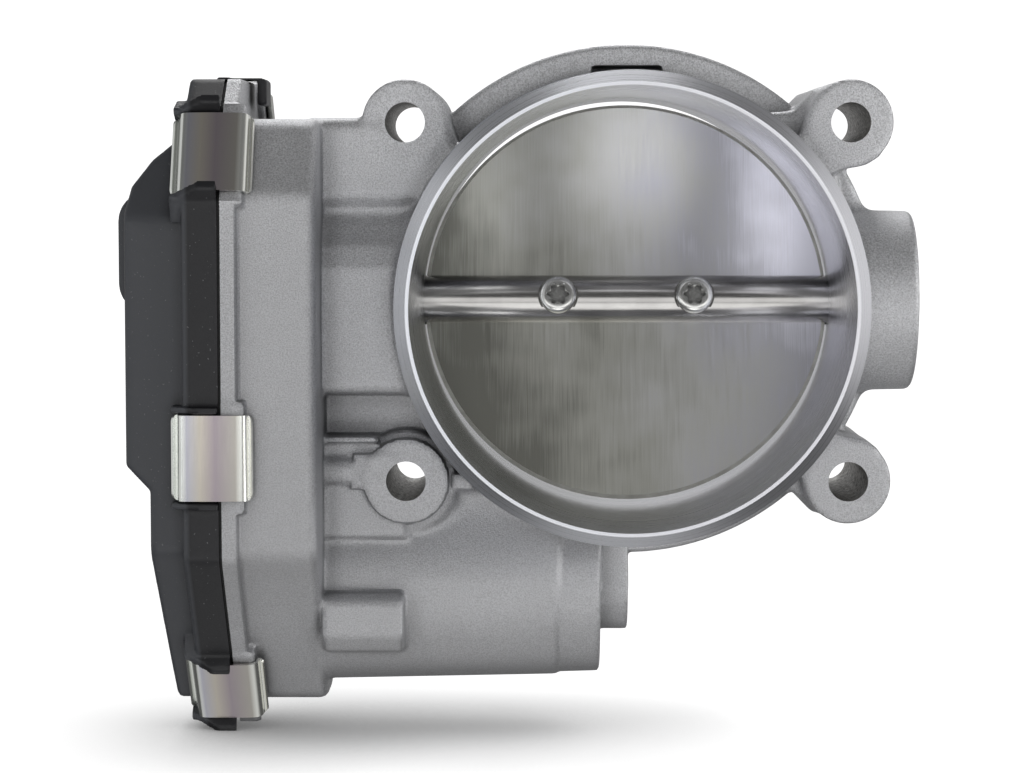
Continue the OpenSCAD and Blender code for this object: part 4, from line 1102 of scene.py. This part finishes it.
def screws():
    """Plate screws with rounded heads and six-lobed recesses, leaning with the plate."""
    bm = bmesh.new()
    head_r, head_t = SCREW_HEAD
    top = -SCREW_SEAT - head_t
    lobe_r, lobe_wave = 2.0, 0.3
    profile = [(SCREW_SHANK_R, SHAFT_R - 0.2, 0), (SCREW_SHANK_R, -SCREW_SEAT, 0), (head_r, -SCREW_SEAT, 0),
               (head_r, top + 0.75, 0), (head_r - 0.12, top + 0.45, 0), (head_r - 0.4, top + 0.22, 0),
               (head_r - 0.8, top + 0.08, 0), (head_r - 1.1, top + 0.02, 0), (lobe_r + 0.1, top, lobe_wave),
               (lobe_r, top + 0.1, lobe_wave), (lobe_r - 0.06, top + 1.1, lobe_wave)]
    steps = 72
    tilt = Matrix.Rotation(-REST_TILT, 4, "X")
    for side in (-1, 1):
        rings = []
        for i in range(steps):
            angle = 2 * math.pi * i / steps
            ring = []
            for r, y, wave in profile:
                reach = r + wave * math.cos(6 * angle)
                place = tilt @ Vector((reach * math.cos(angle), y, reach * math.sin(angle)))
                ring.append(bm.verts.new((place + Vector((side * SCREW_HALF_GAP, SHAFT_Y, 0))) * MM))
            rings.append(ring)
        join_rings(bm, rings, False)
        bm.faces.new([ring[0] for ring in rings])
        bm.faces.new([ring[-1] for ring in rings[::-1]])
    bmesh.ops.recalc_face_normals(bm, faces=bm.faces)
    piece = object_from("screws", bm)
    piece.data.materials.append(SCREW)
    smooth(piece, 38)
    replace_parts(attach(piece, "throttle"), "plate_screws")


# ---- Light, floor and camera ----

def camera():
    data = bpy.data.cameras.new("camera")
    data.lens, data.sensor_width = CAMERA_LENS, SENSOR_WIDTH
    data.clip_start, data.clip_end = 0.05, 20
    cam = new_object("camera", data)
    cam.location = Vector(CAMERA_PLACE) * MM
    yaw = Matrix.Rotation(math.radians(-CAMERA_YAW), 4, "Z")
    pitch = Matrix.Rotation(math.radians(90 - CAMERA_PITCH), 4, "X")
    cam.rotation_mode = "QUATERNION"
    cam.rotation_quaternion = (yaw @ pitch).to_quaternion()
    bpy.context.scene.camera = cam


def soft_box(name, place, width, height, glow, color=(1, 1, 1)):
    """A rectangular light aimed at the bore; glow is its radiance, where 1 is a white that just clips."""
    data = bpy.data.lights.new(name, "AREA")
    data.shape, data.size, data.size_y = "RECTANGLE", width, height
    data.energy, data.color = glow * math.pi * width * height, color
    lamp = new_object(name, data)
    lamp.location = place
    lamp.rotation_mode = "QUATERNION"
    lamp.rotation_quaternion = (-Vector(place)).to_track_quat("-Z", "Y")


def surroundings():
    """Dim room light with soft lobes behind, above, below, to both sides and low in front of the object."""
    world = bpy.data.worlds.new("studio")
    bpy.context.scene.world = world
    world.use_nodes = True
    nodes, links = world.node_tree.nodes, world.node_tree.links
    back = nodes["Background"]
    facing = nodes.new("ShaderNodeTexCoord").outputs["Generated"]
    # direction, cosines where the lobe starts and where it is full, glow
    lobes = [((0, 1, 0.1), 0.6, 0.98, 0.35), ((-0.8, -0.6, 0), 0.5, 1.0, 0.14),
             ((0.8, -0.6, 0), 0.5, 1.0, 0.2), ((-1, 0.1, 0.15), 0.75, 0.95, 0.45),
             ((1, 0.1, 0.15), 0.75, 0.95, 0.6), ((0, 0.3, 1), 0.45, 1.0, 0.08),
             ((0, -0.05, -1), 0.8, 0.97, 0.5), ((0, -0.87, -0.5), 0.92, 0.985, 1.3),
             ((0, -0.6, 0.8), 0.9, 0.99, 0.12)]
    room = nodes.new("ShaderNodeValue")
    room.outputs[0].default_value = ROOM_GLOW
    total = room.outputs[0]
    for direction, start, end, glow in lobes:
        dot = nodes.new("ShaderNodeVectorMath")
        dot.operation = "DOT_PRODUCT"
        links.new(facing, dot.inputs[0])
        dot.inputs[1].default_value = Vector(direction).normalized()
        ramp = nodes.new("ShaderNodeMapRange")
        ramp.interpolation_type = "SMOOTHSTEP"
        ramp.inputs["From Min"].default_value = start
        ramp.inputs["From Max"].default_value = end
        ramp.inputs["To Max"].default_value = glow
        links.new(dot.outputs["Value"], ramp.inputs["Value"])
        add = nodes.new("ShaderNodeMath")
        add.operation = "ADD"
        links.new(total, add.inputs[0])
        links.new(ramp.outputs["Result"], add.inputs[1])
        total = add.outputs[0]
    links.new(total, back.inputs["Strength"])
    back.inputs["Color"].default_value = (1, 1, 1, 1)


def wide_plane(name, place, turn, glow, painted_shadow=False):
    """A white studio surface; the object doesn't see it, so its own light stays under control. The floor's
    glow can be dimmed near the object as a painted shadow.
    """
    bm = bmesh.new()
    bmesh.ops.create_grid(bm, x_segments=2, y_segments=2, size=6)
    made = object_from(name, bm)
    made.location, made.rotation_euler = place, turn
    white = Paint(name + "_white", (0.4, 0.4, 0.4), 0.0, 0.8)
    white.shader.inputs["Emission Color"].default_value = (1, 1, 1, 1)
    white.shader.inputs["Emission Strength"].default_value = glow
    white.shader.inputs["Specular IOR Level"].default_value = 0.0
    if painted_shadow:
        # painted shadow: the floor glows less where the object stands near it
        strength = white.spread(white.openness(FLOOR_SHADE_REACH), 0.1, glow, 0.2, 0.95)
        white.feed("Emission Strength", strength)
    made.data.materials.append(white.material)
    made.visible_glossy = False
    made.visible_diffuse = False
    made.visible_shadow = painted_shadow


def studio():
    surroundings()
    soft_box("front", (-0.05, -1.10, 0.03), 1.7, 0.40, 0.98)
    soft_box("left", (-1.0, -0.75, 0.05), 0.4, 0.5, 1.0, (0.95, 0.97, 1.0))
    soft_box("right", (1.0, -0.45, 0.05), 0.5, 0.6, 2.5)
    soft_box("top", (-0.05, 0.75, 1.0), 0.6, 0.6, 3.0)
    wide_plane("backdrop", (0, BACKDROP_Y, 0), (math.pi / 2, 0, 0), 1.0)
    wide_plane("floor", (0, 0, cad_box[0][2] - FLOOR_GAP), (0, 0, 0), 0.95, painted_shadow=True)
    bpy.context.scene.view_settings.view_transform = "Standard"


# ---- The scene ----

SLOT_OF = {part["node"]: part["material_slot"] for part in frame["record"]["subparts"]}
REPLACED = ["housing", "cover", "spring_clips", "throttle_plate", "plate_screws"]

casting()
cover_shell()
clips()
plate()
screws()

for node, piece in frame["nodes"].items():
    if node in REPLACED:
        continue
    piece.data.materials.clear()
    piece.data.materials.append(SLOTS[SLOT_OF[node]])
    smooth(piece, 35)

studio()
camera()
